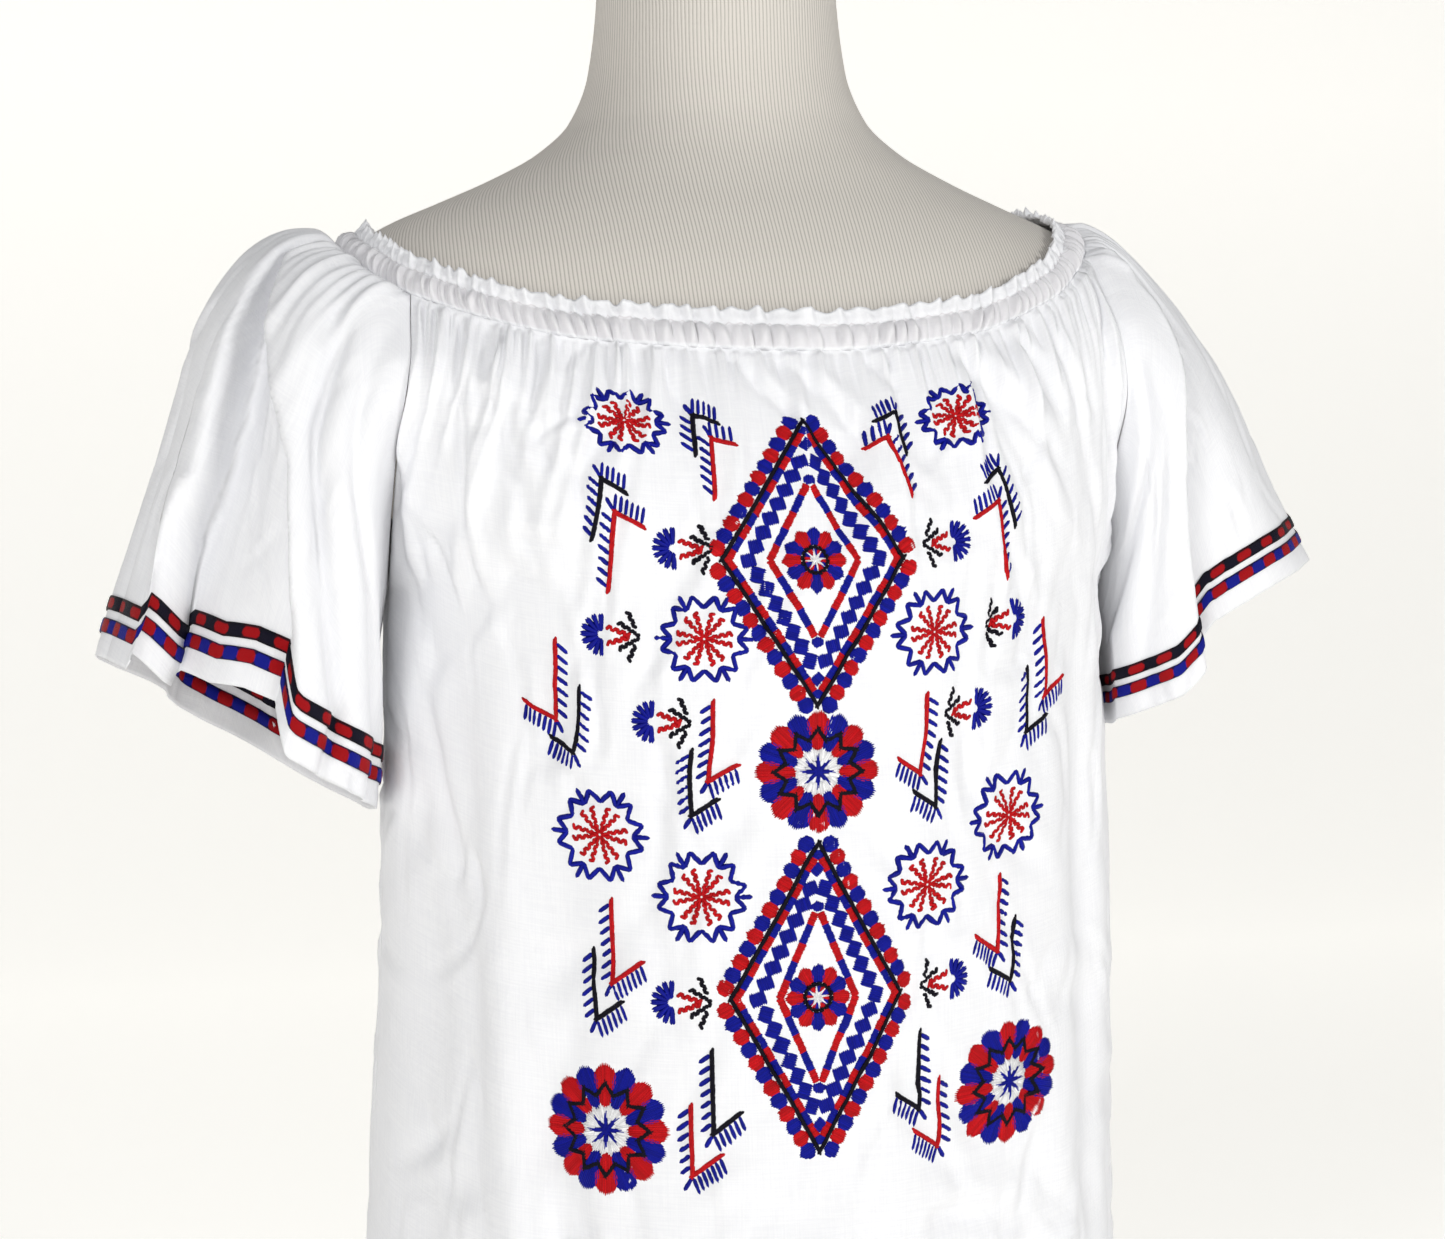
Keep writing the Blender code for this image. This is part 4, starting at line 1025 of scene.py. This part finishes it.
def threadMaterial(colour):
    tone = embroidery["colours"][colour]
    made, tree, shader = newMaterial(f"{colour}Thread", tone, 0.48, Specular_IOR_Level=0.12)
    u, v = clothUv(tree)
    blotch = flatNoise(tree, u * 40, v * 2).smooth(0.35, 0.75)
    dark, light = (tuple(min(1, c * share) for c in tone) for share in (0.72, 1.12))
    plug(tree, mixed(tree, blotch, dark, light), shader, "Base Color")
    twist = ((u / embroidery["twist"] + v) * (2 * math.pi)).maths("SINE")
    plug(tree, bumped(tree, twist, 0.45, 0.00012), shader, "Normal")
    return made


def makeEmbroidery(sheet):
    layPattern()
    lookUp = clothTable(sheet)
    stations = np.array((0.0, 0.14, 0.5, 0.86, 1.0))
    narrow = np.array((0.30, 0.90, 1.0, 0.90, 0.30))
    rise = np.array((0.05, 0.82, 1.0, 0.82, 0.05))
    pieces = []
    for colour, rows in stitches.items():
        row = np.concatenate(rows)
        start, end = row[:, 0:2] * 0.001, row[:, 2:4] * 0.001
        width, crown = row[:, 4] * embroidery["plump"], row[:, 5] * embroidery["crown"]
        size = np.maximum(lengthOf(end - start), 1e-6)
        along = (end - start) / size[:, None]
        across = np.stack([-along[:, 1], along[:, 0]], axis=-1)
        line = start[:, None, :] + (end - start)[:, None, :] * stations[None, :, None]
        rings = []
        for offset, height in ((-0.5, None), (0.0, 1.0), (0.5, None)):
            flat = line + across[:, None, :] * (width[:, None] * narrow[None, :] * offset)[..., None]
            base, ways = lookUp(flat[..., 0], flat[..., 1])
            lift = np.full(flat.shape[:2], -embroidery["sink"]) if height is None else crown[:, None] * rise[None, :]
            rings.append(base + ways * lift[..., None])
        points = np.stack(rings, axis=2)  # stitch, station, section point
        count, last = len(points), len(stations) - 1
        number = np.arange(points.shape[0] * points.shape[1] * 3).reshape(points.shape[:3])
        sides = np.concatenate([
            np.stack([number[:, i, j], number[:, i, j - 2], number[:, i + 1, j - 2], number[:, i + 1, j]], axis=-1)
            for i in range(last) for j in range(3)
        ])
        caps = np.concatenate([number[:, 0, ::-1], number[:, last, :]])
        flat = points.reshape(-1, 3)
        top = sides[:count]
        _, ways = lookUp(start[:, 0], start[:, 1])
        a, b, c = (flat[top[:, k]] for k in range(3))
        if (np.cross(b - a, c - b) * ways).sum() < 0:
            sides, caps = sides[:, ::-1], caps[:, ::-1]
        shift = handJitter.uniform(0, 5.0, count)
        u = shift[:, None, None] + (size[:, None] * stations[None, :])[..., None] + np.zeros(points.shape[:3])
        v = np.broadcast_to(np.array((0.0, 0.5, 1.0)), points.shape[:3])
        uvs = np.stack([u, v], axis=-1).reshape(-1, 2)
        obj = makeObject(f"{colour}Embroidery", flat, list(sides) + list(caps), uvs, threadMaterial(colour))
        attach(obj, "root")
        print(f"{colour} stitches: {count}")
        pieces.append(obj)
    return pieces


# Sleeves. Round a sleeve, 0 degrees is the underarm, 90 the front, 180 the outer side and 270 the back.

cuffs = {
    "left": {"centre": (-0.2170, 0.004, 0.3700), "outward": (-0.0500, 0.0, 0.0300), "depth": 0.059},
    "right": {"centre": (0.2110, 0.010, 0.4050), "outward": (0.0510, 0.0, 0.0390), "depth": 0.062},
}
flows = {
    "left": [
        (0, (0.006, 0, -0.03), (-0.004, 0, 0.035)),
        (60, (0.022, -0.014, -0.03), (-0.014, -0.004, 0.055)),
        (110, (0.04, -0.018, -0.006), (-0.024, -0.004, 0.085)),
        (180, (0.046, 0, 0.018), (-0.034, 0, 0.1)),
        (250, (0.044, 0.016, -0.01), (-0.03, 0.006, 0.1)),
        (300, (0.022, 0.014, -0.03), (-0.014, 0.004, 0.055)),
    ],
    "right": [
        (0, (0.006, 0, -0.022), (-0.004, 0, 0.025)),
        (60, (0.018, -0.014, -0.028), (-0.01, -0.004, 0.045)),
        (110, (0.034, -0.016, -0.012), (-0.026, -0.006, 0.075)),
        (180, (0.048, 0, -0.002), (-0.045, 0, 0.085)),
        (250, (0.034, 0.016, -0.012), (-0.026, 0.006, 0.075)),
        (300, (0.018, 0.014, -0.028), (-0.01, 0.004, 0.045)),
    ],
}
sleeveFolds = {  # each step: its line as (along, turn) points, its width in degrees, and how far the cloth rises there
    "left": {
        "steps": [
            ([(0, 60), (1, 22)], 16, 0.006),
            ([(0, 152), (0.12, 150), (0.22, 140), (0.36, 127), (0.48, 114), (0.6, 103), (0.74, 95), (1, 84)],
             2.8, -0.008),
            ([(0, 156), (0.25, 149), (0.45, 144), (0.7, 142), (0.85, 147), (1, 148)], 2.8, 0.027),
            ([(0, 200), (1, 203)], 20, -0.012),
        ],
        "slope": (1, 2, -0.013),  # between these two steps the cloth falls this far
        "troughs": [
            ([(0, 121), (0.17, 113), (0.29, 104), (0.47, 99), (0.58, 90), (0.72, 79), (0.86, 70), (1, 62)],
             6.5, -0.0075),
            ([(0, 98), (0.4, 74), (0.62, 52), (1, 36)], 6, -0.004),
            ([(0, 170), (0.5, 168), (1, 166)], 5, -0.002),
            ([(0, 214), (1, 216)], 18, -0.01), ([(0, 244), (1, 252)], 16, 0.007), ([(0, 272), (1, 292)], 18, -0.01),
        ],
        "overlaps": [(1, 0.55), (2, 1.0)],  # step, how strongly the cloth folds over there
        "hemLift": [  # turn, rise of the hem
            (0, 0), (60, 0), (80, 0), (82.2, 0.001), (85.8, 0.02), (100, 0.018), (120, 0.0115),
            (145.5, 0.009), (150.5, 0.003), (175, 0.003), (210, 0.001), (300, 0.001),
        ],
    },
    "right": {
        "steps": [
            ([(0, 50), (1, 18)], 14, 0.008),
            ([(0, 118), (0.1, 111), (0.25, 101), (0.35, 92), (0.43, 84), (0.5, 78), (0.6, 73), (0.75, 70), (1, 69)],
             3.0, -0.023),
            ([(0, 168), (1, 158)], 14, 0.003),
            ([(0, 200), (1, 203)], 20, -0.006),
        ],
        "slope": (1, 2, 0.018),
        "troughs": [
            ([(0, 86), (0.4, 40), (1, 14)], 9, -0.004),
            ([(0, 74), (0.5, 56), (1, 47)], 7, -0.0022),
            ([(0, 212), (1, 222)], 18, -0.011), ([(0, 242), (1, 256)], 16, 0.008), ([(0, 270), (1, 294)], 18, -0.01),
        ],
        "overlaps": [(1, 0.8)],
        "hemLift": [
            (0, 0), (30, 0), (60, -0.004), (67.2, -0.001), (70.8, 0.009), (80, 0.0125), (90, 0.011),
            (105, 0.008), (120, 0.005), (140, 0), (160, -0.004), (200, -0.002), (300, 0.001),
        ],
    },
}
neckFeed = (0.29, 0.71)
sleeveGrid = {
    "columns": 404, "rows": 76,
    "bandRows": (  # these far above the hem
        0.0255, 0.0240, 0.0225, 0.0210, 0.0195, 0.0178, 0.0160, 0.0145,
        0.0130, 0.0115, 0.0100, 0.0082, 0.0062, 0.0040, 0.0018, 0.0,
    ),
}
sleeveGathers = {"count": 44, "span": 0.150, "depth": 0.0026, "shortest": 0.012, "longest": 0.040, "spread": 0.25}
sleeveSeeds = {"left": (31, 41), "right": (32, 42)}  # of the gathers, and of the creases
sleeveScatter = (90, (-0.2, 0.2), (0.02, 0.2), (0.02, 0.07), (0.0016, 0.004), (0.0003, 0.0012), 0, 24)
sleeveLean = 0.50
overlap = {"reach": 0.0050, "slide": 1.7}


def aroundFrom(turn, place):
    return (turn - place + 180) % 360 - 180


def sleeveStart(name, share):
    sign = -1 if name == "left" else 1
    frontDown = np.clip(1 - share / neckFeed[0], 0, 1)
    backDown = np.clip((share - neckFeed[1]) / (1 - neckFeed[1]), 0, 1)
    neckShare = (share - neckFeed[0]) / (neckFeed[1] - neckFeed[0])
    turn = sign * (seamTurn + (math.pi - 2 * seamTurn) * np.clip(neckShare, 0, 1))
    side = np.full(share.shape, float(sign))
    front = smoothPanelPoint("front", side, frontDown)
    back = smoothPanelPoint("back", side, backDown)
    neck = neckEdgeOuter(turn)
    return np.where((share < neckFeed[0])[:, None], front, np.where((share < neckFeed[1])[:, None], neck, back))


def underarmDown(z):
    heights = [p[4] for p in seamLines["side"]][::-1]
    return np.interp(z, heights, [p[0] for p in seamLines["side"]][::-1])


def clearOfBody(points, gap):
    x, y, z = points[..., 0], points[..., 1], points[..., 2]
    down = underarmDown(z)
    left, right, seamY, _ = seamNumbers("front", down)
    half = np.where(x < 0, left, right) + gap
    depth = np.abs(np.where(y < seamY, centreCurves["front"][1](down), centreCurves["back"][1](down)) - seamY) + gap
    inside = (np.hypot(x / half, (y - seamY) / depth) < 1) & (z < seamLines["side"][0][4])
    pushed = np.sign(x) * half * np.sqrt(np.clip(1 - ((y - seamY) / depth) ** 2, 0, 1))
    moved = points.copy()
    moved[..., 0] = np.where(inside, pushed, x)
    return moved


def plainSleeve(name):
    values, sign = sleeveGrid, -1 if name == "left" else 1
    share = np.arange(values["columns"]) / values["columns"]
    turn = share * 360
    angle = np.radians(turn)
    start = sleeveStart(name, share)
    cuff = cuffs[name]
    lift = np.interp(turn, *zip(*sleeveFolds[name]["hemLift"]), period=360)
    end = np.array(cuff["centre"]) - np.array(cuff["outward"]) * np.cos(angle)[:, None]
    end = end + np.stack([np.zeros_like(turn), -cuff["depth"] * np.sin(angle), lift], axis=-1)
    keys = [f[0] for f in flows[name]]
    outwards = np.array((sign, 1.0, 1.0))
    leave, arrive = (
        np.stack([ringCurve(keys, [f[part][k] for f in flows[name]], 360)(turn) for k in range(3)], axis=-1) * outwards
        for part in (1, 2)
    )
    steps = np.linspace(0, 1, 81)[:, None, None]
    fine = (
        start * (1 - steps) ** 3
        + (start + leave) * 3 * steps * (1 - steps) ** 2
        + (end + arrive) * 3 * steps**2 * (1 - steps)
        + end * steps**3
    )
    lengths = runningLength(fine, 0)
    shares = np.linspace(0, 1, values["rows"])[:-1] ** 1.15
    columns = []
    for i in range(len(share)):
        total = lengths[-1, i]
        plain = total - values["bandRows"][0]
        wanted = np.concatenate([plain * shares, total - np.array(values["bandRows"])])
        columns.append(np.stack([np.interp(wanted, lengths[:, i], fine[:, i, k]) for k in range(3)], axis=-1))
    return np.stack(columns, axis=1), share


def foldHeight(name, turn, along, perDegree):
    folds = sleeveFolds[name]
    height = np.zeros(turn.shape)
    places = []
    for path, width, rise in folds["steps"]:
        place = np.interp(along, *zip(*path))
        height += rise * ramp(turn, place - width, place + width)
        places.append(place)
    first, second, rise = folds["slope"]
    height += rise * np.clip((turn - places[first]) / (places[second] - places[first]), 0, 1)
    for path, width, rise in folds["troughs"]:
        height += rise * np.exp(-((aroundFrom(turn, np.interp(along, *zip(*path))) / width) ** 2))
    slide = np.zeros(turn.shape)
    for number, share in folds["overlaps"]:
        away = aroundFrom(turn, places[number]) * perDegree
        slide -= overlap["slide"] * share * away * np.exp(-((away / overlap["reach"]) ** 2)) * ramp(along, 0.05, 0.30)
    return height * ramp(along, 0, 0.45) ** 0.5, slide


def sleeveSheet(name):
    values = sleeveGrid
    points, share = plainSleeve(name)
    normals = gridNormals(points, True)
    rows = len(points)
    along = np.ones(rows)
    along[:values["rows"] - 1] = np.linspace(0, 1, values["rows"])[:-1] ** 1.15
    along = np.broadcast_to(along[:, None], points.shape[:2])
    turn = np.broadcast_to(share[None, :] * 360, points.shape[:2])
    s, t = clothLengths(points, len(share) // 2)
    sideways = np.roll(points, -1, axis=1) - np.roll(points, 1, axis=1)
    height, slide = foldHeight(name, turn, along, lengthOf(sideways) / 2 * values["columns"] / 360)
    slope = (np.roll(height, -1, axis=1) - np.roll(height, 1, axis=1)) / np.maximum(lengthOf(sideways), 1e-6)
    lean = -sleeveLean * height * slope / np.sqrt(1 + slope * slope)  # each ridge's sides lean out over the troughs
    leaned = unit(sideways) * (lean + slide)[..., None]
    feed = (share[None, :] - neckFeed[0]) / (neckFeed[1] - neckFeed[0])
    gatherSeed, seed = sleeveSeeds[name]
    gathers = gatherHeight(np.broadcast_to(feed, height.shape), t, gatherSeed, **sleeveGathers)
    inNeck = ramp(np.minimum(feed, 1 - feed), -0.01, 0.03)
    swell = 0.0040 * ramp(t, 0.0, 0.010) * np.exp(-((t / 0.045) ** 2))
    height += (gathers + swell) * inNeck
    addCreases(height, s, t, scatteredCreases(seed, *sleeveScatter))
    addUnevenness(height, s, t, seed, (0.04, 0.10, 0.0008), 0.05)
    height *= ramp(t, 0.0, 0.007) * (1 - inNeck) + inNeck
    height -= 0.0003 * np.exp(-((t / 0.0018) ** 2)) * (1 - inNeck)
    fromHem = t[-1:] - t
    height -= 0.0003 * np.exp(-(((fromHem - 0.0085) / 0.0010) ** 2))
    points = points + normals * height[..., None] + leaned
    for side, down in (("front", 1 - share / neckFeed[0]), ("back", (share - neckFeed[1]) / (1 - neckFeed[1]))):
        points = points + filledSeam(side, np.broadcast_to(np.maximum(down, -0.02), t.shape), t)
    points = clearOfForm(points, cloth["restGap"] + cloth["thickness"] + 0.0003)
    points = clearOfBody(points, 0.0012 + 0.0025 * ramp(t, 0.0, 0.05))
    return {"points": points, "normals": gridNormals(points, True), "s": s, "t": t}


def makeSleeve(name, sheet, material):
    uvs = np.stack([sheet["s"], sheet["t"]], axis=-1)
    points, normals, uvs = tucked(sheet["points"], sheet["normals"], uvs, ("top",))
    obj = clothSheet(f"{name}SleeveCloth", points, normals, uvs, True, material)
    return standsFor(obj, f"sleeve_{name}")


# Bands of satin stitch round the cuffs

bandLook = {
    "block": 0.0071,
    "red": (0.36, 0.003, 0.006),
    "upper": {
        "colour": (0.005, 0.004, 0.014), "edge": (0.003, 0.003, 0.008), "edgeFrom": 0.56, "slot": "black_red_thread",
        "places": {"left": (0.0195, 0.0255), "right": (0.0172, 0.0224)},
    },
    "lower": {
        "colour": (0.006, 0.010, 0.250), "edge": (0.005, 0.005, 0.040), "edgeFrom": 0.74, "slot": "blue_red_thread",
        "places": {"left": (0.0100, 0.0160), "right": (0.0092, 0.0144)},
    },
    "threadPitch": 0.00048,
    "lift": 0.0002,
    "height": 0.0007,
}


def bandMaterial(which):
    look = bandLook[which]
    made, tree, shader = newMaterial(f"{which}BandThread", look["colour"], 0.48, Specular_IOR_Level=0.12)
    u, v = clothUv(tree)
    jitter = flatNoise(tree, u * 180, v * 500)
    place = (u / (2 * bandLook["block"]) + jitter * 0.08 - 0.04) % 1.0
    second = place.smooth(0.445, 0.465) * (1.0 - place.smooth(0.98, 1.0))
    colour = mixed(tree, second, look["colour"], bandLook["red"])
    edge = (v - 0.48).maths("ABSOLUTE") * 2.0
    atStart = 1.0 - (place - 0.455).maths("ABSOLUTE") * 13.0
    atEnd = 1.0 - ((place - 0.49).maths("ABSOLUTE") - 0.5).maths("ABSOLUTE") * 13.0
    pinch = atStart.maths("MAXIMUM", atEnd)  # the blocks are narrower at their ends
    dark = (edge + pinch.maths("MAXIMUM", 0.0) * 0.42).smooth(look["edgeFrom"], look["edgeFrom"] + 0.24)
    colour = mixed(tree, dark * 0.94, colour, look["edge"])
    plug(tree, colour, shader, "Base Color")
    thread = (u * (2 * math.pi / bandLook["threadPitch"]) + jitter * 3.0).maths("SINE")
    plug(tree, bumped(tree, thread, 0.55, 0.00022), shader, "Normal")
    return made


def sampledRow(sheet, distance):  # the sleeve's points and normals this far up from the hem
    points, normals = sheet["points"], sheet["normals"]
    down = runningLength(points[::-1], 0)
    out, ways = (
        np.array([[np.interp(distance, down[:, i], grid[::-1, i, k]) for k in range(3)] for i in range(grid.shape[1])])
        for grid in (points, normals)
    )
    return out, unit(ways)


def finerRing(values, factor):
    count = len(values)
    wrapped = np.concatenate([values, values[:1]])
    fine = np.linspace(0, count, count * factor + 1)[:-1]
    return np.stack([np.interp(fine, np.arange(count + 1), wrapped[:, k]) for k in range(3)], axis=-1)


def makeBand(name, which, sheet, material):
    low, high = bandLook[which]["places"][name]
    profile = [  # share of the width, share of the height: the stitches go through to the inside
        (0, -1.4), (0, 0.62), (0.12, 0.92), (0.5, 1), (0.88, 0.92), (1, 0.62), (1, -1.4),
    ]
    rows, marks = [], []
    for place, rise in profile:
        points, normals = sampledRow(sheet, low + (high - low) * place)
        fine, ways = finerRing(points, 2), unit(finerRing(normals, 2))
        rows.append(fine + ways * (bandLook["lift"] + bandLook["height"] * rise))
        marks.append(place)
    points = np.array(rows)
    columns = points.shape[1]
    uvs = np.stack(np.broadcast_arrays(runningLength(points[3], 0), np.array(marks)[:, None]), axis=-1)
    faces = gridFaces(len(points) + 1, columns, True) % (len(points) * columns)
    title = f"{name}Sleeve{which.capitalize()}Band"
    obj = repaired(makeObject(title, points.reshape(-1, 3), faces, uvs.reshape(-1, 2), material))
    return standsFor(obj, f"band_{which}_{name}")


# Neck casing: an elastic channel between two stitch lines, with a frilled header above

casing = {
    "columns": 1400, "gathers": 215, "width": 0.0105, "header": 0.0072,
    "puff": 0.0010, "gatherDepth": 0.0051, "frillWave": 0.0026,
    "ups": (  # the rows, up the form's skin from the lower edge
        -0.0006, 0.0002, 0.0009, 0.0017, 0.0028, 0.0042, 0.0056, 0.0070, 0.0084,
        0.0094, 0.0101, 0.0105, 0.0110, 0.0120, 0.0132, 0.0144, 0.0156, 0.0166,
    ),
}


def casingSheet():
    columns, width, ups = casing["columns"], casing["width"], casing["ups"]
    turn = np.arange(columns) / columns * 2 * math.pi
    random = np.random.default_rng(51)
    count = casing["gathers"]
    jitter = random.uniform(-0.24, 0.24, count)
    sizes = random.uniform(0.40, 1.20, count)
    slants = random.normal(14.0, 34.0, count)
    edges = (np.arange(count) + jitter) / count * 2 * math.pi
    edges = np.concatenate([edges, [edges[0] + 2 * math.pi]])
    frillPhase = np.cumsum(random.uniform(0.7, 1.3, columns))
    frillPhase = frillPhase / frillPhase[-1] * 2 * math.pi * 137
    frill = np.sin(frillPhase) + 0.5 * np.sin(frillPhase * 73 / 137 + 1.3) + 0.4 * np.sin(frillPhase * 223 / 137 + 0.4)
    top = 0.5 + 0.5 * np.sin(frillPhase * 89 / 137 + 0.7) * np.sin(frillPhase * 31 / 137)
    rows = []
    skins = aboveNeckline(turn, [width + (up - width) * (0.96 + 0.24 * top) if up > width else up for up in ups])
    for up, skin in zip(ups, skins):
        share = min(max(up, 0.0) / width, 1.0)
        moved = (turn - edges[0]) % (2 * math.pi) + edges[0]
        index = np.clip(np.searchsorted(edges, moved, side="right") - 1, 0, count - 1)
        inside = (moved - edges[index]) / (edges[index + 1] - edges[index])
        lean = slants[index] * (up - width / 2)
        inside = np.clip(inside + lean * np.sin(math.pi * inside), 0, 1)
        ridge = np.sin(math.pi * inside) ** 0.75 * sizes[index]
        swell = math.sin(math.pi * share) ** 0.55 if share < 1 else 0.0
        rise = casing["puff"] * swell + casing["gatherDepth"] * (ridge - 0.35) * (0.35 + 0.65 * swell)
        above = max(up - width, 0) / casing["header"]
        frilled = 0.0020 + casing["frillWave"] * (0.60 * frill + 0.25 * ridge)
        rise = rise * (1 - above) + above * frilled + 0.0006 * math.sin(math.pi * min(above * 2, 1.0))
        tuck = 0.0009 if up < 0 else 0.0
        rows.append(skin + formNormal(skin) * (cloth["restGap"] + 0.0010 - tuck + np.maximum(rise, 0.0))[:, None])
    points = np.array(rows)
    points[1:] = clearOfForm(points[1:], 0.0012)
    s, t = clothLengths(points, 0)
    return {"points": points, "normals": gridNormals(points, True), "s": s, "t": t}


def makeCasing(sheet, material):
    uvs = np.stack([sheet["s"], sheet["t"]], axis=-1)
    obj = clothSheet("neckCasingCloth", sheet["points"], sheet["normals"], uvs, True, material)
    return standsFor(obj, "neck_casing")


# Room, light and camera

view = {"azimuth": -16.0, "distance": 1.30, "span": 0.6286, "target": (-0.0106, 0.0030, 0.417), "roll": -1.0}
room = {
    "paper": (0.90, 0.89, 0.86),
    "paperGlow": (1.0, 0.985, 0.94),
    "glowStrength": 0.54,
    "air": (0.93, 0.95, 1.0),
    "airLight": 0.17,
    "lampColour": (1.0, 0.995, 0.98),
    "lamps": {  # place, what it points at, size and power
        "leftWindow": ((-1.35, -1.82, 1.35), (0, 0, 0.45), 0.60, 18),
        "rightWindow": ((1.15, -1.48, 0.95), (0.1, 0, 0.45), 0.60, 12.5),
        "frontFill": ((-0.62, -2.10, 0.62), (0, 0, 0.45), 1.10, 6.5),
    },
}


def makeRoom():
    made, _, shader = newMaterial("palePaper", room["paper"], 0.95)
    shader.inputs["Emission Color"].default_value = (*room["paperGlow"], 1.0)
    shader.inputs["Emission Strength"].default_value = room["glowStrength"]
    bend, back, wide = 1.3, 2.2, 5.0
    profile = [(-6.0, 0.0), (back, 0.0)]
    profile += [(back + bend * math.sin(a), bend - bend * math.cos(a)) for a in np.radians(np.arange(6, 91, 6))]
    profile.append((back + bend, 4.5))
    points = [(x, y, z) for y, z in profile for x in (-wide, wide)]
    faces = [(2 * i, 2 * i + 1, 2 * i + 3, 2 * i + 2) for i in range(len(profile) - 1)]
    floor = makeObject("palePaper", points, faces, None, made)
    world = bpy.data.worlds.new("softRoom")
    world.use_nodes = True
    background = world.node_tree.nodes["Background"]
    background.inputs["Color"].default_value = (*room["air"], 1.0)
    background.inputs["Strength"].default_value = room["airLight"]
    bpy.context.scene.world = world


def makeLights():
    for name, (place, aim, size, power) in room["lamps"].items():
        light = bpy.data.lights.new(name, "AREA")
        light.shape, light.size, light.energy, light.color = "SQUARE", size, power, room["lampColour"]
        obj = bpy.data.objects.new(name, light)
        bpy.context.scene.collection.objects.link(obj)
        obj.location = place
        obj.rotation_euler = (Vector(aim) - Vector(place)).to_track_quat("-Z", "Y").to_euler()


def makeCamera():
    azimuth = math.radians(view["azimuth"])
    back = Vector((math.sin(azimuth), -math.cos(azimuth), 0.0))
    camera = bpy.data.cameras.new("photoCamera")
    camera.sensor_width = 36
    camera.lens = 36 * view["distance"] / view["span"]
    camera.clip_start, camera.clip_end = 0.01, 50
    obj = bpy.data.objects.new("photoCamera", camera)
    bpy.context.scene.collection.objects.link(obj)
    obj.location = Vector(view["target"]) + back * view["distance"]
    obj.rotation_mode = "QUATERNION"
    obj.rotation_quaternion = (-back).to_track_quat("-Z", "Y") @ Quaternion((0, 0, 1), math.radians(view["roll"]))
    bpy.context.scene.camera = obj
    bpy.context.scene.view_settings.view_transform = "Standard"


print("form")
makeDressForm()
cotton = cottonMaterial("whiteCotton", cottonLook)
# the casing's cloth, with painted shade across its channel and along its upper stitch line
gatheredCotton = cottonMaterial("gatheredCotton", cottonLook, 0.0002, (0.0015, 0.0125))
print("panels")
sheets = {side: panelSheet(side) for side in ("front", "back")}
panels = {side: makePanel(side, sheets[side], cotton) for side in ("front", "back")}
print("embroidery")
makeEmbroidery(sheets["front"])
print("sleeves")
bandMaterials = {which: bandMaterial(which) for which in ("upper", "lower")}
for name in ("left", "right"):
    sheets[name] = sleeveSheet(name)
    sleeve = makeSleeve(name, sheets[name], cotton)
    bands = [makeBand(name, which, sheets[name], bandMaterials[which]) for which in ("upper", "lower")]
print("casing")
sheets["casing"] = casingSheet()
makeCasing(sheets["casing"], gatheredCotton)
print("room")
makeRoom()
makeLights()
makeCamera()
